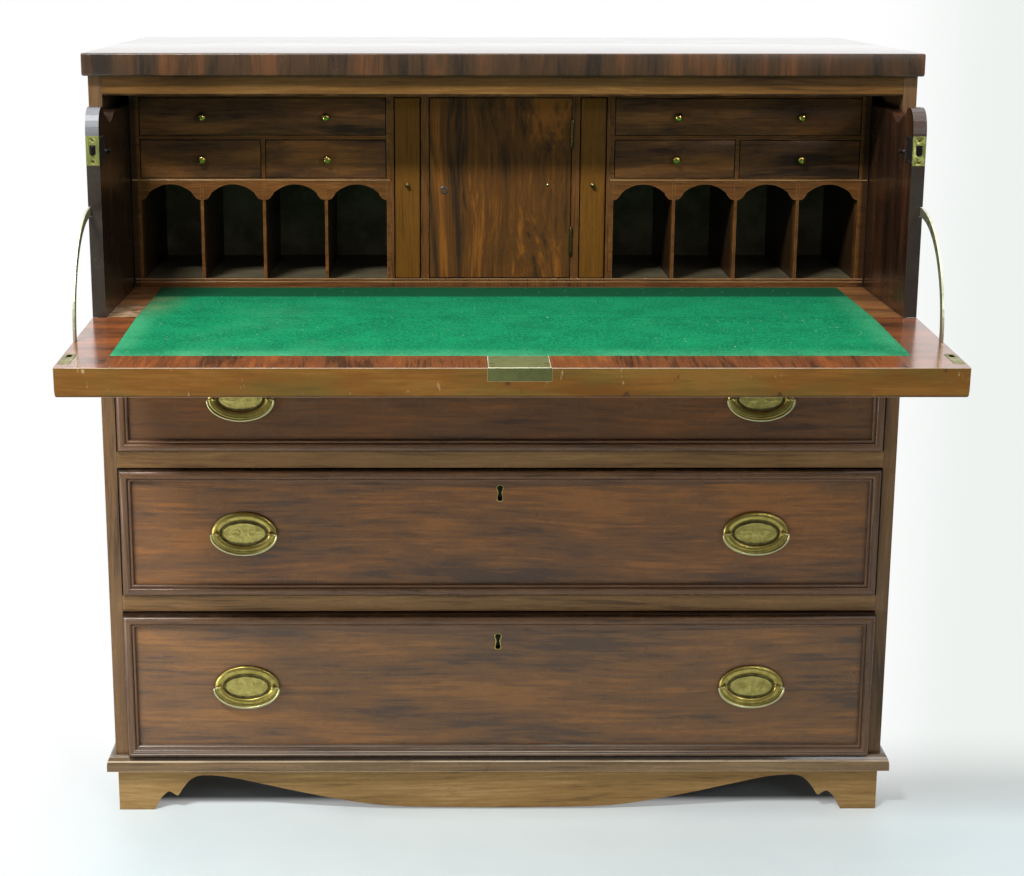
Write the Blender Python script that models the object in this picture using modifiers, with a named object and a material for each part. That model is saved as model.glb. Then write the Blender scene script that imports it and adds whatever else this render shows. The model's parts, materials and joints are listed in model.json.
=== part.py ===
"""A secretaire chest: three long drawers under a writing drawer with a fall front and a gallery.

Run it with blender --background --python part.py, or from Blender's text editor.
Metres, +Z up, the front faces -Y. The origin is on the floor, under the middle of the piece as it
stands with the writing drawer out and its fall down.
"""

import math

import bmesh
import bpy
from mathutils import Euler, Matrix, Vector

# Fits between pieces
FIT = 0.0003
OVERRUN = 0.004
WELD = 0.00002

# Carcase
CARCASE_WIDTH = 1.100
CARCASE_DEPTH = 0.560
SIDE_THICKNESS = 0.018
TOP_THICKNESS = 0.030
TOP_SIDE_OVERHANG = 0.006
TOP_FRONT_OVERHANG = 0.015
TOP_EDGE_ROUND = 0.003
BOTTOM_THICKNESS = 0.018
BACK_THICKNESS = 0.010
BACK_REBATE = 0.009
BACK_GROOVE_WIDTH = 0.003
BACK_GROOVE_DEPTH = 0.002
BACK_PLANKS = 6
RAIL_HEIGHT = 0.023
RAIL_DEPTH = 0.060
TOP_RAIL_HEIGHT = 0.026
DUSTBOARD_THICKNESS = 0.010

# Openings, from the lowest drawer up
DRAWER_OPENINGS = (0.215, 0.186, 0.1535)
WRITING_OPENING = 0.3105

# Base moulding and bracket plinth
FOOT_HEIGHT = 0.064
BASE_MOULDING_HEIGHT = 0.024
BASE_MOULDING_REACH = 0.012
BASE_MOULDING_FILLET = 0.0035
BASE_MOULDING_STEPS = 5
PLINTH_THICKNESS = 0.018
PLINTH_INSET = 0.002
FOOT_WIDTH = 0.051
APRON_SMOOTHNESS = 4
# A bracket from its crest in to the foot: distance from the foot in foot widths, and height in foot heights
BRACKET_SHARES = (
    (1.353, 0.828), (1.049, 0.734), (0.824, 0.531), (0.667, 0.344), (0.530, 0.400), (0.392, 0.437), (0.196, 0.297),
)
# The front apron from its middle to the bracket's crest, along the run and up from the floor
FRONT_APRON_SHARES = ((0.000, 0.040), (0.105, 0.045), (0.379, 0.090), (0.605, 0.337), (0.832, 0.680), (0.923, 0.800))
SIDE_APRON_SHARES = ((0.000, 0.760), (0.500, 0.780))

# Long drawers
DRAWER_SIDE_CLEARANCE = 0.0015
DRAWER_TOP_CLEARANCE = 0.0022
DRAWER_DEPTH = 0.500
DRAWER_FRONT_THICKNESS = 0.022
DRAWER_WALL = 0.010
DRAWER_BOTTOM_THICKNESS = 0.008
DRAWER_BOTTOM_RAISE = 0.008
DRAWER_SIDE_DROP = 0.012
LOWEST_DRAWER_OUT = 0.010

# Frame moulding round every front: an ovolo, a cove and a bead inside a quirk
FRAME_PROUD = 0.009
FRAME_FILLET_RISE = 0.0025
FRAME_EDGE_INSET = 0.0004
OVOLO_WIDTH = 0.0071
FRAME_FLAT = 0.0015
COVE_WIDTH = 0.0035
COVE_FOOT = 0.0035
QUIRK_WIDTH = 0.0005
QUIRK_RISE = 0.0012
BEAD_WIDTH = 0.0038
BEAD_END = 0.0003
ARC_STEPS = 4

# Oval handles
PLATE_WIDTH = 0.0915
PLATE_HEIGHT = 0.0610
PLATE_EDGE = 0.0008
PLATE_SIDES = 24
RIM_BAND = 0.0095
RIM_RISE = 0.0028
RIM_LOW_RISE = 0.0020
PLATE_FIELD_RISE = 0.0004
PLATE_FIELD_WIDTH = 0.0048
MEDALLION_SLOPE = 0.0010
MEDALLION_RISE = 0.0022
HANDLE_FROM_END = 0.1725
POST_RADIUS = 0.0034
POST_RISE = 0.0115
POST_SIDES = 10
POST_FROM_CENTRE = 0.0370
BAIL_HALF_WIDTH = 0.0458
BAIL_DROP = 0.0285
BAIL_RADIUS = 0.0019
BAIL_PIN_RADIUS = 0.0012
BAIL_PIN_CLEARANCE = 0.0004
BAIL_PIN_REACH = 0.0008
BAIL_STEPS = 12
PIVOT_RISE = 0.0082

# Writing drawer
WRITING_LEVEL = 0.0377
WRITING_DRAWER_OUT = 0.146
WRITING_DRAWER_DEPTH = 0.515
CHEEK_THICKNESS = 0.017
CHEEK_TOP_CLEARANCE = 0.0068
CHEEK_EAR_DEPTH = 0.050
CHEEK_EAR_HEIGHT = 0.031
CHEEK_EAR_DROP = 0.012
SCOOP_FROM_FRONT = 0.092
SCOOP_WIDTH = 0.078
SCOOP_DEPTH = 0.012
EAR_STEPS = 6
SCOOP_STEPS = 8
FLOOR_THICKNESS = 0.015
BEARER_DEPTH = 0.045
BEARER_OVERLAP = 0.002
WRITING_BACK_THICKNESS = 0.012
WRITING_BACK_DROP = 0.004

# Fall front
FALL_TOP_CLEARANCE = 0.0008
FALL_THICKNESS = 0.027
FALL_DROOP = math.radians(2.2)
HINGE_GAP = 0.0005
LIP_INSET = 0.017
LIP_SWEEP_CLEARANCE = 0.0015
NOTCH_SIDES = 32
BAIZE_HALF_WIDTH = 0.475
BAIZE_THICKNESS = 0.0012
BAIZE_PROUD = 0.0003
BAIZE_FRONT_MARGIN = 0.060
BAIZE_BACK_MARGIN = 0.006
FALL_HANDLE_LEVEL = 0.118

# Quadrant stays, which run in grooves in the cheeks
STAY_RADIUS = 0.136
STAY_WIDTH = 0.011
STAY_THICKNESS = 0.0026
STAY_PAST_CHEEK = math.radians(5.0)
STAY_FOOT_LENGTH = 0.0145
STAY_FOOT_CLEARANCE = 0.0005
STAY_GROOVE_CLEARANCE = 0.0010
STAY_GROOVE_EXTRA = math.radians(4.0)
STAY_STEPS = 24

# Lock plate on the fall, spring catches in the cheeks
LOCK_WIDTH = 0.074
LOCK_FROM_CENTRE = 0.0083
LOCK_PLATE_THICKNESS = 0.0015
LOCK_EDGE_REACH = 0.016
CATCH_LEVEL = 0.213
CATCH_BOLT_WIDTH = 0.005
CATCH_BOLT_HEIGHT = 0.012
CATCH_BOLT_LENGTH = 0.0225
CATCH_BOLT_PROUD = 0.0025
CATCH_BOLT_NOSE = 0.0015
CATCH_CLEARANCE = 0.0006
CATCH_POCKET_DEPTH = 0.030
STRIKE_MARGIN = 0.0012
STRIKE_DEPTH = 0.004

# Gallery of pigeonholes and small drawers
GALLERY_BASE = 0.0093
GALLERY_TOP_CLEARANCE = 0.0035
GALLERY_SHELF = 0.005
SMALL_OPENING = 0.054
LONG_OPENING = 0.0525
GALLERY_TOP = 0.0055
BANK_OUTER_WALL = 0.0125
BANK_INNER_WALL = 0.006
PIGEONHOLE_COUNT = 4
PIGEONHOLE_DIVIDER = 0.004
SMALL_DRAWER_COUNT = 2
SMALL_DIVIDER = 0.005
GALLERY_BACK = 0.008
VALANCE_THICKNESS = 0.005
VALANCE_DROP = 0.0255
VALANCE_SMOOTHNESS = 2
# Half an arch from the divider to its middle: share of the cell's width, and of the drop up from the foot
VALANCE_FOOT_SHARES = ((0.000, 0.020), (0.045, 0.055), (0.082, 0.130), (0.106, 0.250), (0.124, 0.300))
VALANCE_ARCH_SHARES = ((0.130, 0.400), (0.200, 0.575), (0.280, 0.720), (0.380, 0.835), (0.500, 0.880))
GALLERY_DRAWER_CLEARANCE = 0.0008
GALLERY_DRAWER_WALL = 0.005
GALLERY_DRAWER_FRONT = 0.008
GALLERY_DRAWER_BOTTOM = 0.004
GALLERY_DRAWER_DEPTH = 0.225
GALLERY_DRAWER_REAR_ROOM = 0.0217
KNOB_RADIUS = 0.0055
KNOB_NECK_RADIUS = 0.0026
KNOB_LENGTH = 0.0125
KNOB_SIDES = 12
LONG_KNOB_FROM_CENTRE = 0.0855

# Centre compartment: a door between two upright document slides
CENTRE_HALF_WIDTH = 0.1515
CENTRE_OUTER_WALL = 0.0033
CENTRE_PARTITION = 0.0102
DOOR_OPENING_HALF_WIDTH = 0.0998
CENTRE_BASE = 0.0118
CENTRE_TOP = 0.005
DOOR_THICKNESS = 0.012
DOOR_CLEARANCE = 0.0006
DOOR_HINGE_PROUD = 0.0005
SLIDE_WALL = 0.004
SLIDE_FRONT = 0.008
SLIDE_PULL_RADIUS = 0.0032
SLIDE_PULL_LENGTH = 0.006
SLIDE_PULL_SHARE = 0.52

# Colours: base colour, roughness and metallic
MAHOGANY_DARK = ("mahogany_dark", (0.16, 0.055, 0.030), 0.28, 0.0)
MAHOGANY_GOLDEN = ("mahogany_golden", (0.36, 0.15, 0.055), 0.34, 0.0)
MAHOGANY_FLAME = ("mahogany_flame", (0.30, 0.10, 0.035), 0.26, 0.0)
DRAWER_OAK = ("drawer_oak", (0.33, 0.20, 0.10), 0.62, 0.0)
BRASS = ("brass", (0.62, 0.47, 0.20), 0.30, 1.0)
BAIZE = ("green_baize", (0.02, 0.33, 0.15), 0.95, 0.0)

# Sizes worked out from those above
HALF_WIDTH = CARCASE_WIDTH / 2
HALF_OPENING = HALF_WIDTH - SIDE_THICKNESS
HALF_DRAWER = HALF_OPENING - DRAWER_SIDE_CLEARANCE
BASE_TOP = FOOT_HEIGHT + BASE_MOULDING_HEIGHT
FRAME_WIDTH = FRAME_EDGE_INSET + OVOLO_WIDTH + FRAME_FLAT + COVE_WIDTH + QUIRK_WIDTH + BEAD_WIDTH + BEAD_END
DRAWER_FLOORS = tuple(BASE_TOP + sum(DRAWER_OPENINGS[:i]) + i * RAIL_HEIGHT for i in range(len(DRAWER_OPENINGS)))
WRITING_FLOOR = BASE_TOP + sum(DRAWER_OPENINGS) + len(DRAWER_OPENINGS) * RAIL_HEIGHT
TOP_RAIL_LEVEL = WRITING_FLOOR + WRITING_OPENING
SIDE_TOP = TOP_RAIL_LEVEL + TOP_RAIL_HEIGHT
HINGE_LEVEL = WRITING_FLOOR + WRITING_LEVEL
ABOVE_HINGE = WRITING_OPENING - WRITING_LEVEL
FALL_LENGTH = ABOVE_HINGE - FALL_TOP_CLEARANCE
CHEEK_HEIGHT = ABOVE_HINGE - CHEEK_TOP_CLEARANCE
HANDLE_FROM_CENTRE = HALF_DRAWER - HANDLE_FROM_END
LIP_LENGTH = WRITING_LEVEL - 4 * FIT
FALL_OPEN_ANGLE = math.radians(90.0) + FALL_DROOP
CHEEK_FOOT = FIT - WRITING_LEVEL
CHEEK_INNER = HALF_DRAWER - CHEEK_THICKNESS
GALLERY_HEIGHT = ABOVE_HINGE - GALLERY_TOP_CLEARANCE
PIGEONHOLE_ROOF = GALLERY_HEIGHT - GALLERY_TOP - LONG_OPENING - SMALL_OPENING - 2 * GALLERY_SHELF
GALLERY_REAR = WRITING_DRAWER_DEPTH - WRITING_BACK_THICKNESS - FIT
GALLERY_SETBACK = GALLERY_REAR - GALLERY_BACK - GALLERY_DRAWER_REAR_ROOM - GALLERY_DRAWER_DEPTH
FRONT_REACH = WRITING_DRAWER_OUT + FALL_LENGTH * math.cos(FALL_DROOP)
ORIGIN_SHIFT = (FRONT_REACH - CARCASE_DEPTH) / 2

# Turns a flat outline's own X and Y to the side view's Y and Z, or to the front view's X and Z
SIDE_VIEW = Matrix(((0, 0, 1), (1, 0, 0), (0, 1, 0))).to_4x4()
FRONT_VIEW = Matrix(((1, 0, 0), (0, 0, -1), (0, 1, 0))).to_4x4()
FORWARD = Vector((0.0, -1.0, 0.0))


def clear_scene():
    """Removes every object of the startup scene."""
    for obj in list(bpy.data.objects):
        bpy.data.objects.remove(obj, do_unlink=True)


def make_collections():
    """Makes the collection of the pieces and the one of their cutters."""
    pieces = bpy.data.collections.new("Secretaire chest")
    cutters = bpy.data.collections.new("Cutters")
    cutters.hide_render = True
    for collection in (pieces, cutters):
        bpy.context.scene.collection.children.link(collection)
    return pieces, cutters


clear_scene()
PIECES, CUTTERS = make_collections()


def material_of(finish):
    """Returns the finish's material, made once: a Principled BSDF with its colour."""
    name, colour, roughness, metallic = finish
    material = bpy.data.materials.get(name)
    if material is None:
        material = bpy.data.materials.new(name)
        material.use_nodes = True
        shader = material.node_tree.nodes["Principled BSDF"]
        shader.inputs["Base Color"].default_value = (*colour, 1.0)
        shader.inputs["Roughness"].default_value = roughness
        shader.inputs["Metallic"].default_value = metallic
    return material


def place(name, mesh, finish, parent, location):
    """Links a finished mesh as a piece of the chest, in its parent's frame."""
    obj = bpy.data.objects.new(name, mesh)
    PIECES.objects.link(obj)
    mesh.materials.clear()
    mesh.materials.append(material_of(finish))
    obj.parent = parent
    obj.location = location
    return obj


def place_cutter(name, mesh, parent, location):
    """Links a mesh that only cuts or joins others, so it is no piece by itself."""
    obj = bpy.data.objects.new(name, mesh)
    CUTTERS.objects.link(obj)
    obj.hide_render = True
    obj.display_type = "WIRE"
    obj.parent = parent
    obj.location = location
    return obj


def empty(name, location, parent=None, turn=0.0):
    """Adds the frame that a moving group hangs from, turned about X."""
    obj = bpy.data.objects.new(name, None)
    PIECES.objects.link(obj)
    obj.parent = parent
    obj.location = location
    obj.rotation_euler = Euler((turn, 0.0, 0.0))
    return obj


def mesh_from(bm, name):
    """Turns an edit mesh into mesh data."""
    mesh = bpy.data.meshes.new(name)
    bm.to_mesh(mesh)
    bm.free()
    return mesh


def box_mesh(name, size):
    """A cube primitive scaled to a box, centred."""
    bm = bmesh.new()
    bmesh.ops.create_cube(bm, size=1.0)
    bmesh.ops.scale(bm, vec=size, verts=bm.verts)
    return mesh_from(bm, name)


def board(name, low, high, finish, parent, edge=0.0):
    """Adds a squared board between two corners in its parent's frame, with eased edges if asked."""
    low, high = Vector(low), Vector(high)
    obj = place(name, box_mesh(name, high - low), finish, parent, (low + high) / 2)
    if edge:
        ease_edges(obj, edge)
    return obj


def ease_edges(obj, width):
    """Rounds a piece's sharp edges over."""
    bevel = obj.modifiers.new("Eased edges", "BEVEL")
    bevel.width = width
    bevel.segments = 2
    bevel.limit_method = "ANGLE"


def cut_with(obj, cutter, operation="DIFFERENCE"):
    """Cuts a piece with a cutter, or joins it to one."""
    boolean = obj.modifiers.new(cutter.name, "BOOLEAN")
    boolean.operation = operation
    boolean.solver = "EXACT"
    boolean.object = cutter


def cut_box(obj, name, low, high, operation="DIFFERENCE"):
    """Cuts a box, given by two corners in the piece's parent frame, out of a piece."""
    low, high = Vector(low), Vector(high)
    cut_with(obj, place_cutter(name, box_mesh(name, high - low), obj.parent, (low + high) / 2), operation)


def outline_mesh(name, outline, thickness, turn):
    """A flat outline, given in order, as a slab: a filled 2D curve made a mesh and turned into place."""
    curve = bpy.data.curves.new(name, "CURVE")
    curve.dimensions = "2D"
    curve.fill_mode = "BOTH"
    curve.extrude = thickness / 2
    spline = curve.splines.new("POLY")
    spline.points.add(len(outline) - 1)
    for point, (across, up) in zip(spline.points, outline):
        point.co = (across, up, 0.0, 1.0)
    spline.use_cyclic_u = True
    return solid_of_curve(name, curve, turn)


def solid_of_curve(name, curve, turn):
    """The closed mesh of a curve, its caps welded on, turned by a matrix."""
    guide = bpy.data.objects.new(name, curve)
    bpy.context.scene.collection.objects.link(guide)
    bpy.context.view_layer.update()
    graph = bpy.context.evaluated_depsgraph_get()
    mesh = bpy.data.meshes.new_from_object(guide.evaluated_get(graph))
    bpy.data.objects.remove(guide, do_unlink=True)
    bm = bmesh.new()
    bm.from_mesh(mesh)
    bmesh.ops.remove_doubles(bm, verts=bm.verts, dist=WELD)
    bmesh.ops.transform(bm, matrix=turn, verts=bm.verts)
    bmesh.ops.recalc_face_normals(bm, faces=bm.faces)
    bm.to_mesh(mesh)
    bm.free()
    return mesh


def turned_mesh(name, profile, sides, axis_turn):
    """A shape turned about Z from a profile of radius and height, top to bottom, then laid over."""
    bm = bmesh.new()
    verts = [bm.verts.new((radius, 0.0, height)) for radius, height in profile]
    for first, second in zip(verts, verts[1:]):
        bm.edges.new((first, second))
    guide = bpy.data.objects.new(name, mesh_from(bm, name))
    bpy.context.scene.collection.objects.link(guide)
    screw = guide.modifiers.new("Turning", "SCREW")
    screw.steps = sides
    screw.render_steps = sides
    screw.use_merge_vertices = True
    screw.merge_threshold = WELD
    bpy.context.view_layer.update()
    graph = bpy.context.evaluated_depsgraph_get()
    mesh = bpy.data.meshes.new_from_object(guide.evaluated_get(graph))
    bpy.data.objects.remove(guide, do_unlink=True)
    mesh.transform(axis_turn)
    mesh.shade_smooth()
    return mesh


def arc(start, end, hollow, steps):
    """Points of a quarter ellipse after start and up to end, bulging up first, or hollowed."""
    points = []
    for step in range(1, steps + 1):
        angle = math.radians(90.0) * step / steps
        along, rise = (1 - math.cos(angle), math.sin(angle)) if not hollow else (math.sin(angle), 1 - math.cos(angle))
        points.append((start[0] + (end[0] - start[0]) * along, start[1] + (end[1] - start[1]) * rise))
    return points


def frame_profile():
    """The frame moulding's section: how far in from the edge, and how far proud of the field."""
    fillet = (FRAME_EDGE_INSET, FRAME_FILLET_RISE)
    crown = (fillet[0] + OVOLO_WIDTH, FRAME_PROUD)
    shoulder = (crown[0] + FRAME_FLAT, FRAME_PROUD)
    cove_foot = (shoulder[0] + COVE_WIDTH, COVE_FOOT)
    quirk = (cove_foot[0] + QUIRK_WIDTH, QUIRK_RISE)
    section = [fillet, *arc(fillet, crown, False, ARC_STEPS), shoulder]
    section += arc(shoulder, cove_foot, True, ARC_STEPS)
    section.append(quirk)
    for step in range(1, ARC_STEPS + 1):
        angle = math.radians(180.0) * step / ARC_STEPS
        across = (1 - math.cos(angle)) * BEAD_WIDTH / 2
        section.append((quirk[0] + across, QUIRK_RISE + math.sin(angle) * BEAD_WIDTH / 2))
    section.append((quirk[0] + BEAD_WIDTH + BEAD_END, 0.0))
    return section


def raise_rings(bm, section, facing):
    """Insets the face that faces a direction ring by ring, by a section of distances in and out from it."""
    bm.normal_update()
    face = max(bm.faces, key=lambda f: f.normal.dot(facing))
    inset, rise = 0.0, 0.0
    for next_inset, next_rise in section:
        bmesh.ops.inset_region(
            bm, faces=[face], thickness=next_inset - inset, depth=next_rise - rise, use_even_offset=True
        )
        inset, rise = next_inset, next_rise


def framed_board(name, width, height, thickness, finish, parent, location):
    """A board whose face, towards -Y, carries a mitred frame moulding round its field."""
    bm = bmesh.new()
    bmesh.ops.create_cube(bm, size=1.0)
    bmesh.ops.scale(bm, vec=(width, thickness, height), verts=bm.verts)
    bmesh.ops.translate(bm, vec=(0.0, thickness / 2, height / 2), verts=bm.verts)
    raise_rings(bm, frame_profile(), FORWARD)
    return place(name, mesh_from(bm, name), finish, parent, location)


def tray(name, size, wall, front, bottom, finish, parent, location):
    """An open-topped box: the top face is inset and sunk. Its place is its front bottom centre."""
    width, depth, height = size
    bm = bmesh.new()
    bmesh.ops.create_cube(bm, size=1.0)
    bmesh.ops.scale(bm, vec=size, verts=bm.verts)
    bmesh.ops.translate(bm, vec=(0.0, depth / 2, height / 2), verts=bm.verts)
    bm.normal_update()
    top = max(bm.faces, key=lambda f: f.normal.z)
    bmesh.ops.inset_region(bm, faces=[top], thickness=wall, use_even_offset=True)
    near = [vert for vert in top.verts if vert.co.y < depth / 2]
    bmesh.ops.translate(bm, vec=(0.0, front - wall, 0.0), verts=near)
    sunk = bmesh.ops.extrude_discrete_faces(bm, faces=[top])["faces"][0]
    bmesh.ops.translate(bm, vec=(0.0, 0.0, bottom - height), verts=sunk.verts)
    return place(name, mesh_from(bm, name), finish, parent, location)


def sector(inner, outer, start, end, steps):
    """Points of a ring's sector, its angles counted from up towards the back."""
    angles = [start + (end - start) * step / steps for step in range(steps + 1)]
    far = [(outer * math.sin(a), outer * math.cos(a)) for a in angles]
    near = [(inner * math.sin(a), inner * math.cos(a)) for a in reversed(angles)]
    return far + near


def mirrored(points):
    """An outline's right half, given from its centre line outwards, with its left half added."""
    left = [(-across, up) for across, up in reversed(points) if across]
    return left + list(points)


def build_carcase(root):
    """The sides, top, bottom, back, rails and dustboards."""
    side_low = FOOT_HEIGHT + FIT
    for word, sign in (("left", -1), ("right", 1)):
        inner, outer = sorted((sign * HALF_OPENING, sign * HALF_WIDTH))
        side = board(
            f"side_{word}", (inner, 0.0, side_low), (outer, CARCASE_DEPTH, SIDE_TOP - FIT), MAHOGANY_DARK, root
        )
        rebate = sorted((sign * (HALF_OPENING - OVERRUN), sign * (HALF_WIDTH - BACK_REBATE)))
        cut_box(
            side, f"side_{word}_rebate",
            (rebate[0], CARCASE_DEPTH - BACK_THICKNESS - FIT, side_low - OVERRUN),
            (rebate[1], CARCASE_DEPTH + OVERRUN, SIDE_TOP + OVERRUN),
        )
    board(
        "top_board",
        (-HALF_WIDTH - TOP_SIDE_OVERHANG, -TOP_FRONT_OVERHANG, SIDE_TOP),
        (HALF_WIDTH + TOP_SIDE_OVERHANG, CARCASE_DEPTH, SIDE_TOP + TOP_THICKNESS),
        MAHOGANY_FLAME, root, TOP_EDGE_ROUND,
    )
    inside = HALF_OPENING - FIT
    behind = CARCASE_DEPTH - BACK_THICKNESS - 2 * FIT
    board("bottom_board", (-inside, 0.0, BASE_TOP - BOTTOM_THICKNESS), (inside, behind, BASE_TOP), DRAWER_OAK, root)
    board(
        "top_rail", (-inside, 0.0, TOP_RAIL_LEVEL), (inside, RAIL_DEPTH, SIDE_TOP - FIT), MAHOGANY_GOLDEN, root
    )
    for word, level in zip(("lower", "middle"), DRAWER_FLOORS[1:]):
        dust_frame(f"dust_frame_{word}", level, inside, behind, root)
    dust_frame("dust_frame_upper", WRITING_FLOOR, inside, behind, root)
    build_back(root)


def dust_frame(name, level, inside, behind, root):
    """A drawer rail and the dustboard tongued into it, as one L-shaped section across the carcase."""
    section = [
        (0.0, level - RAIL_HEIGHT), (RAIL_DEPTH, level - RAIL_HEIGHT), (RAIL_DEPTH, level - DUSTBOARD_THICKNESS),
        (behind, level - DUSTBOARD_THICKNESS), (behind, level), (0.0, level),
    ]
    place(name, outline_mesh(name, section, 2 * inside, SIDE_VIEW), MAHOGANY_GOLDEN, root, (0.0, 0.0, 0.0))


def build_back(root):
    """The backboards, upright planks with grooved joints, in the sides' rebates."""
    half = HALF_WIDTH - BACK_REBATE - FIT
    front = CARCASE_DEPTH - BACK_THICKNESS
    low = BASE_TOP - BOTTOM_THICKNESS
    back = board("back_panel", (-half, front, low), (half, CARCASE_DEPTH, SIDE_TOP - FIT), DRAWER_OAK, root)
    for joint in range(1, BACK_PLANKS):
        middle = -half + 2 * half * joint / BACK_PLANKS
        cut_box(
            back, f"plank_joint_{joint}",
            (middle - BACK_GROOVE_WIDTH / 2, CARCASE_DEPTH - BACK_GROOVE_DEPTH, low - OVERRUN),
            (middle + BACK_GROOVE_WIDTH / 2, CARCASE_DEPTH + OVERRUN, SIDE_TOP + OVERRUN),
        )


def build_base(root):
    """The base moulding, mitred round the front, and the bracket plinth under it."""
    build_base_moulding(root)
    half = HALF_WIDTH - PLINTH_INSET
    front = outline_mesh("plinth_front", plinth_outline(half, FRONT_APRON_SHARES), PLINTH_THICKNESS, FRONT_VIEW)
    place("plinth_front", front, MAHOGANY_GOLDEN, root, (0.0, PLINTH_INSET + PLINTH_THICKNESS / 2, 0.0))
    side_front = PLINTH_INSET + PLINTH_THICKNESS + FIT
    side_half = (CARCASE_DEPTH - side_front) / 2
    for word, sign in (("left", -1), ("right", 1)):
        name = f"plinth_{word}"
        mesh = outline_mesh(name, plinth_outline(side_half, SIDE_APRON_SHARES), PLINTH_THICKNESS, SIDE_VIEW)
        place(name, mesh, MAHOGANY_GOLDEN, root, (sign * (half - PLINTH_THICKNESS / 2), side_front + side_half, 0.0))


def build_base_moulding(root):
    """A moulded slab of the carcase's plan, opened for the carcase and sawn off at its back."""
    out = HALF_WIDTH + BASE_MOULDING_REACH
    rear = CARCASE_DEPTH + BASE_MOULDING_REACH
    height = BASE_MOULDING_HEIGHT - FIT
    band = 2 * BASE_MOULDING_FILLET
    crown = (BASE_MOULDING_REACH - BASE_MOULDING_FILLET, height - band)
    bm = bmesh.new()
    bmesh.ops.create_cube(bm, size=1.0)
    bmesh.ops.scale(bm, vec=(2 * out, rear + BASE_MOULDING_REACH, band), verts=bm.verts)
    bmesh.ops.translate(bm, vec=(0.0, CARCASE_DEPTH / 2, band / 2), verts=bm.verts)
    raise_rings(bm, arc((0.0, 0.0), crown, False, BASE_MOULDING_STEPS), Vector((0.0, 0.0, 1.0)))
    moulding = place(
        "base_moulding", mesh_from(bm, "base_moulding"), MAHOGANY_GOLDEN, root, (0.0, 0.0, FOOT_HEIGHT + FIT)
    )
    floor, top = FOOT_HEIGHT - OVERRUN, BASE_TOP + OVERRUN
    near = HALF_WIDTH + FIT
    cut_box(moulding, "carcase_seat", (-near, -FIT, floor), (near, rear + OVERRUN, top))
    cut_box(moulding, "moulding_rear", (-out - OVERRUN, CARCASE_DEPTH, floor), (out + OVERRUN, rear + OVERRUN, top))


def plinth_outline(half, apron_shares):
    """One face of the plinth: a foot at each end with its shaped bracket, and the apron between them."""
    span = half - FOOT_WIDTH
    run = span - FOOT_WIDTH * BRACKET_SHARES[0][0]
    edge = [(run * along, FOOT_HEIGHT * up) for along, up in apron_shares]
    edge += [(span - FOOT_WIDTH * away, FOOT_HEIGHT * up) for away, up in BRACKET_SHARES]
    right = smoothed(edge, APRON_SMOOTHNESS) + [(span, 0.0), (half, 0.0), (half, FOOT_HEIGHT)]
    return mirrored(right)


def smoothed(points, steps):
    """A curve through the given points, each stretch cut into even steps."""
    ends = [points[0], *points, points[-1]]
    out = []
    for before, start, end, after in zip(ends, ends[1:], ends[2:], ends[3:]):
        for step in range(steps):
            t = step / steps
            out.append(tuple(
                0.5 * (2 * b + (c - a) * t + (2 * a - 5 * b + 4 * c - d) * t * t + (3 * b - a - 3 * c + d) * t ** 3)
                for a, b, c, d in zip(before, start, end, after)
            ))
    return out + [points[-1]]


def plate_section():
    """An oval plate's section from its edge in: a rounded rim band, a plain field and a raised medallion."""
    field = RIM_BAND + PLATE_FIELD_WIDTH
    return [
        (RIM_BAND / 8, RIM_LOW_RISE), (RIM_BAND * 3 / 8, RIM_RISE), (RIM_BAND * 5 / 8, RIM_RISE),
        (RIM_BAND * 7 / 8, RIM_LOW_RISE), (RIM_BAND, PLATE_FIELD_RISE), (field, PLATE_FIELD_RISE),
        (field + MEDALLION_SLOPE, MEDALLION_RISE),
    ]


def plate_mesh(name):
    """An oval handle plate standing out towards -Y from its back."""
    bm = bmesh.new()
    bmesh.ops.create_cone(
        bm, cap_ends=True, segments=PLATE_SIDES, radius1=PLATE_WIDTH / 2, radius2=PLATE_WIDTH / 2, depth=PLATE_EDGE
    )
    bmesh.ops.scale(bm, vec=(1.0, PLATE_HEIGHT / PLATE_WIDTH, 1.0), verts=bm.verts)
    bmesh.ops.translate(bm, vec=(0.0, 0.0, PLATE_EDGE / 2), verts=bm.verts)
    bmesh.ops.transform(bm, matrix=Matrix.Rotation(math.radians(90.0), 4, "X"), verts=bm.verts)
    raise_rings(bm, plate_section(), FORWARD)
    return mesh_from(bm, name)


def post_mesh(name):
    """A handle's post, turned, with a domed end, standing out towards -Y."""
    profile = [
        (0.0, POST_RISE), (POST_RADIUS / 2, POST_RISE - POST_RADIUS / 8), (POST_RADIUS, POST_RISE - POST_RADIUS / 2),
        (POST_RADIUS, PLATE_EDGE / 2), (0.0, PLATE_EDGE / 2),
    ]
    return turned_mesh(name, profile, POST_SIDES, Matrix.Rotation(math.radians(90.0), 4, "X"))


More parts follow.
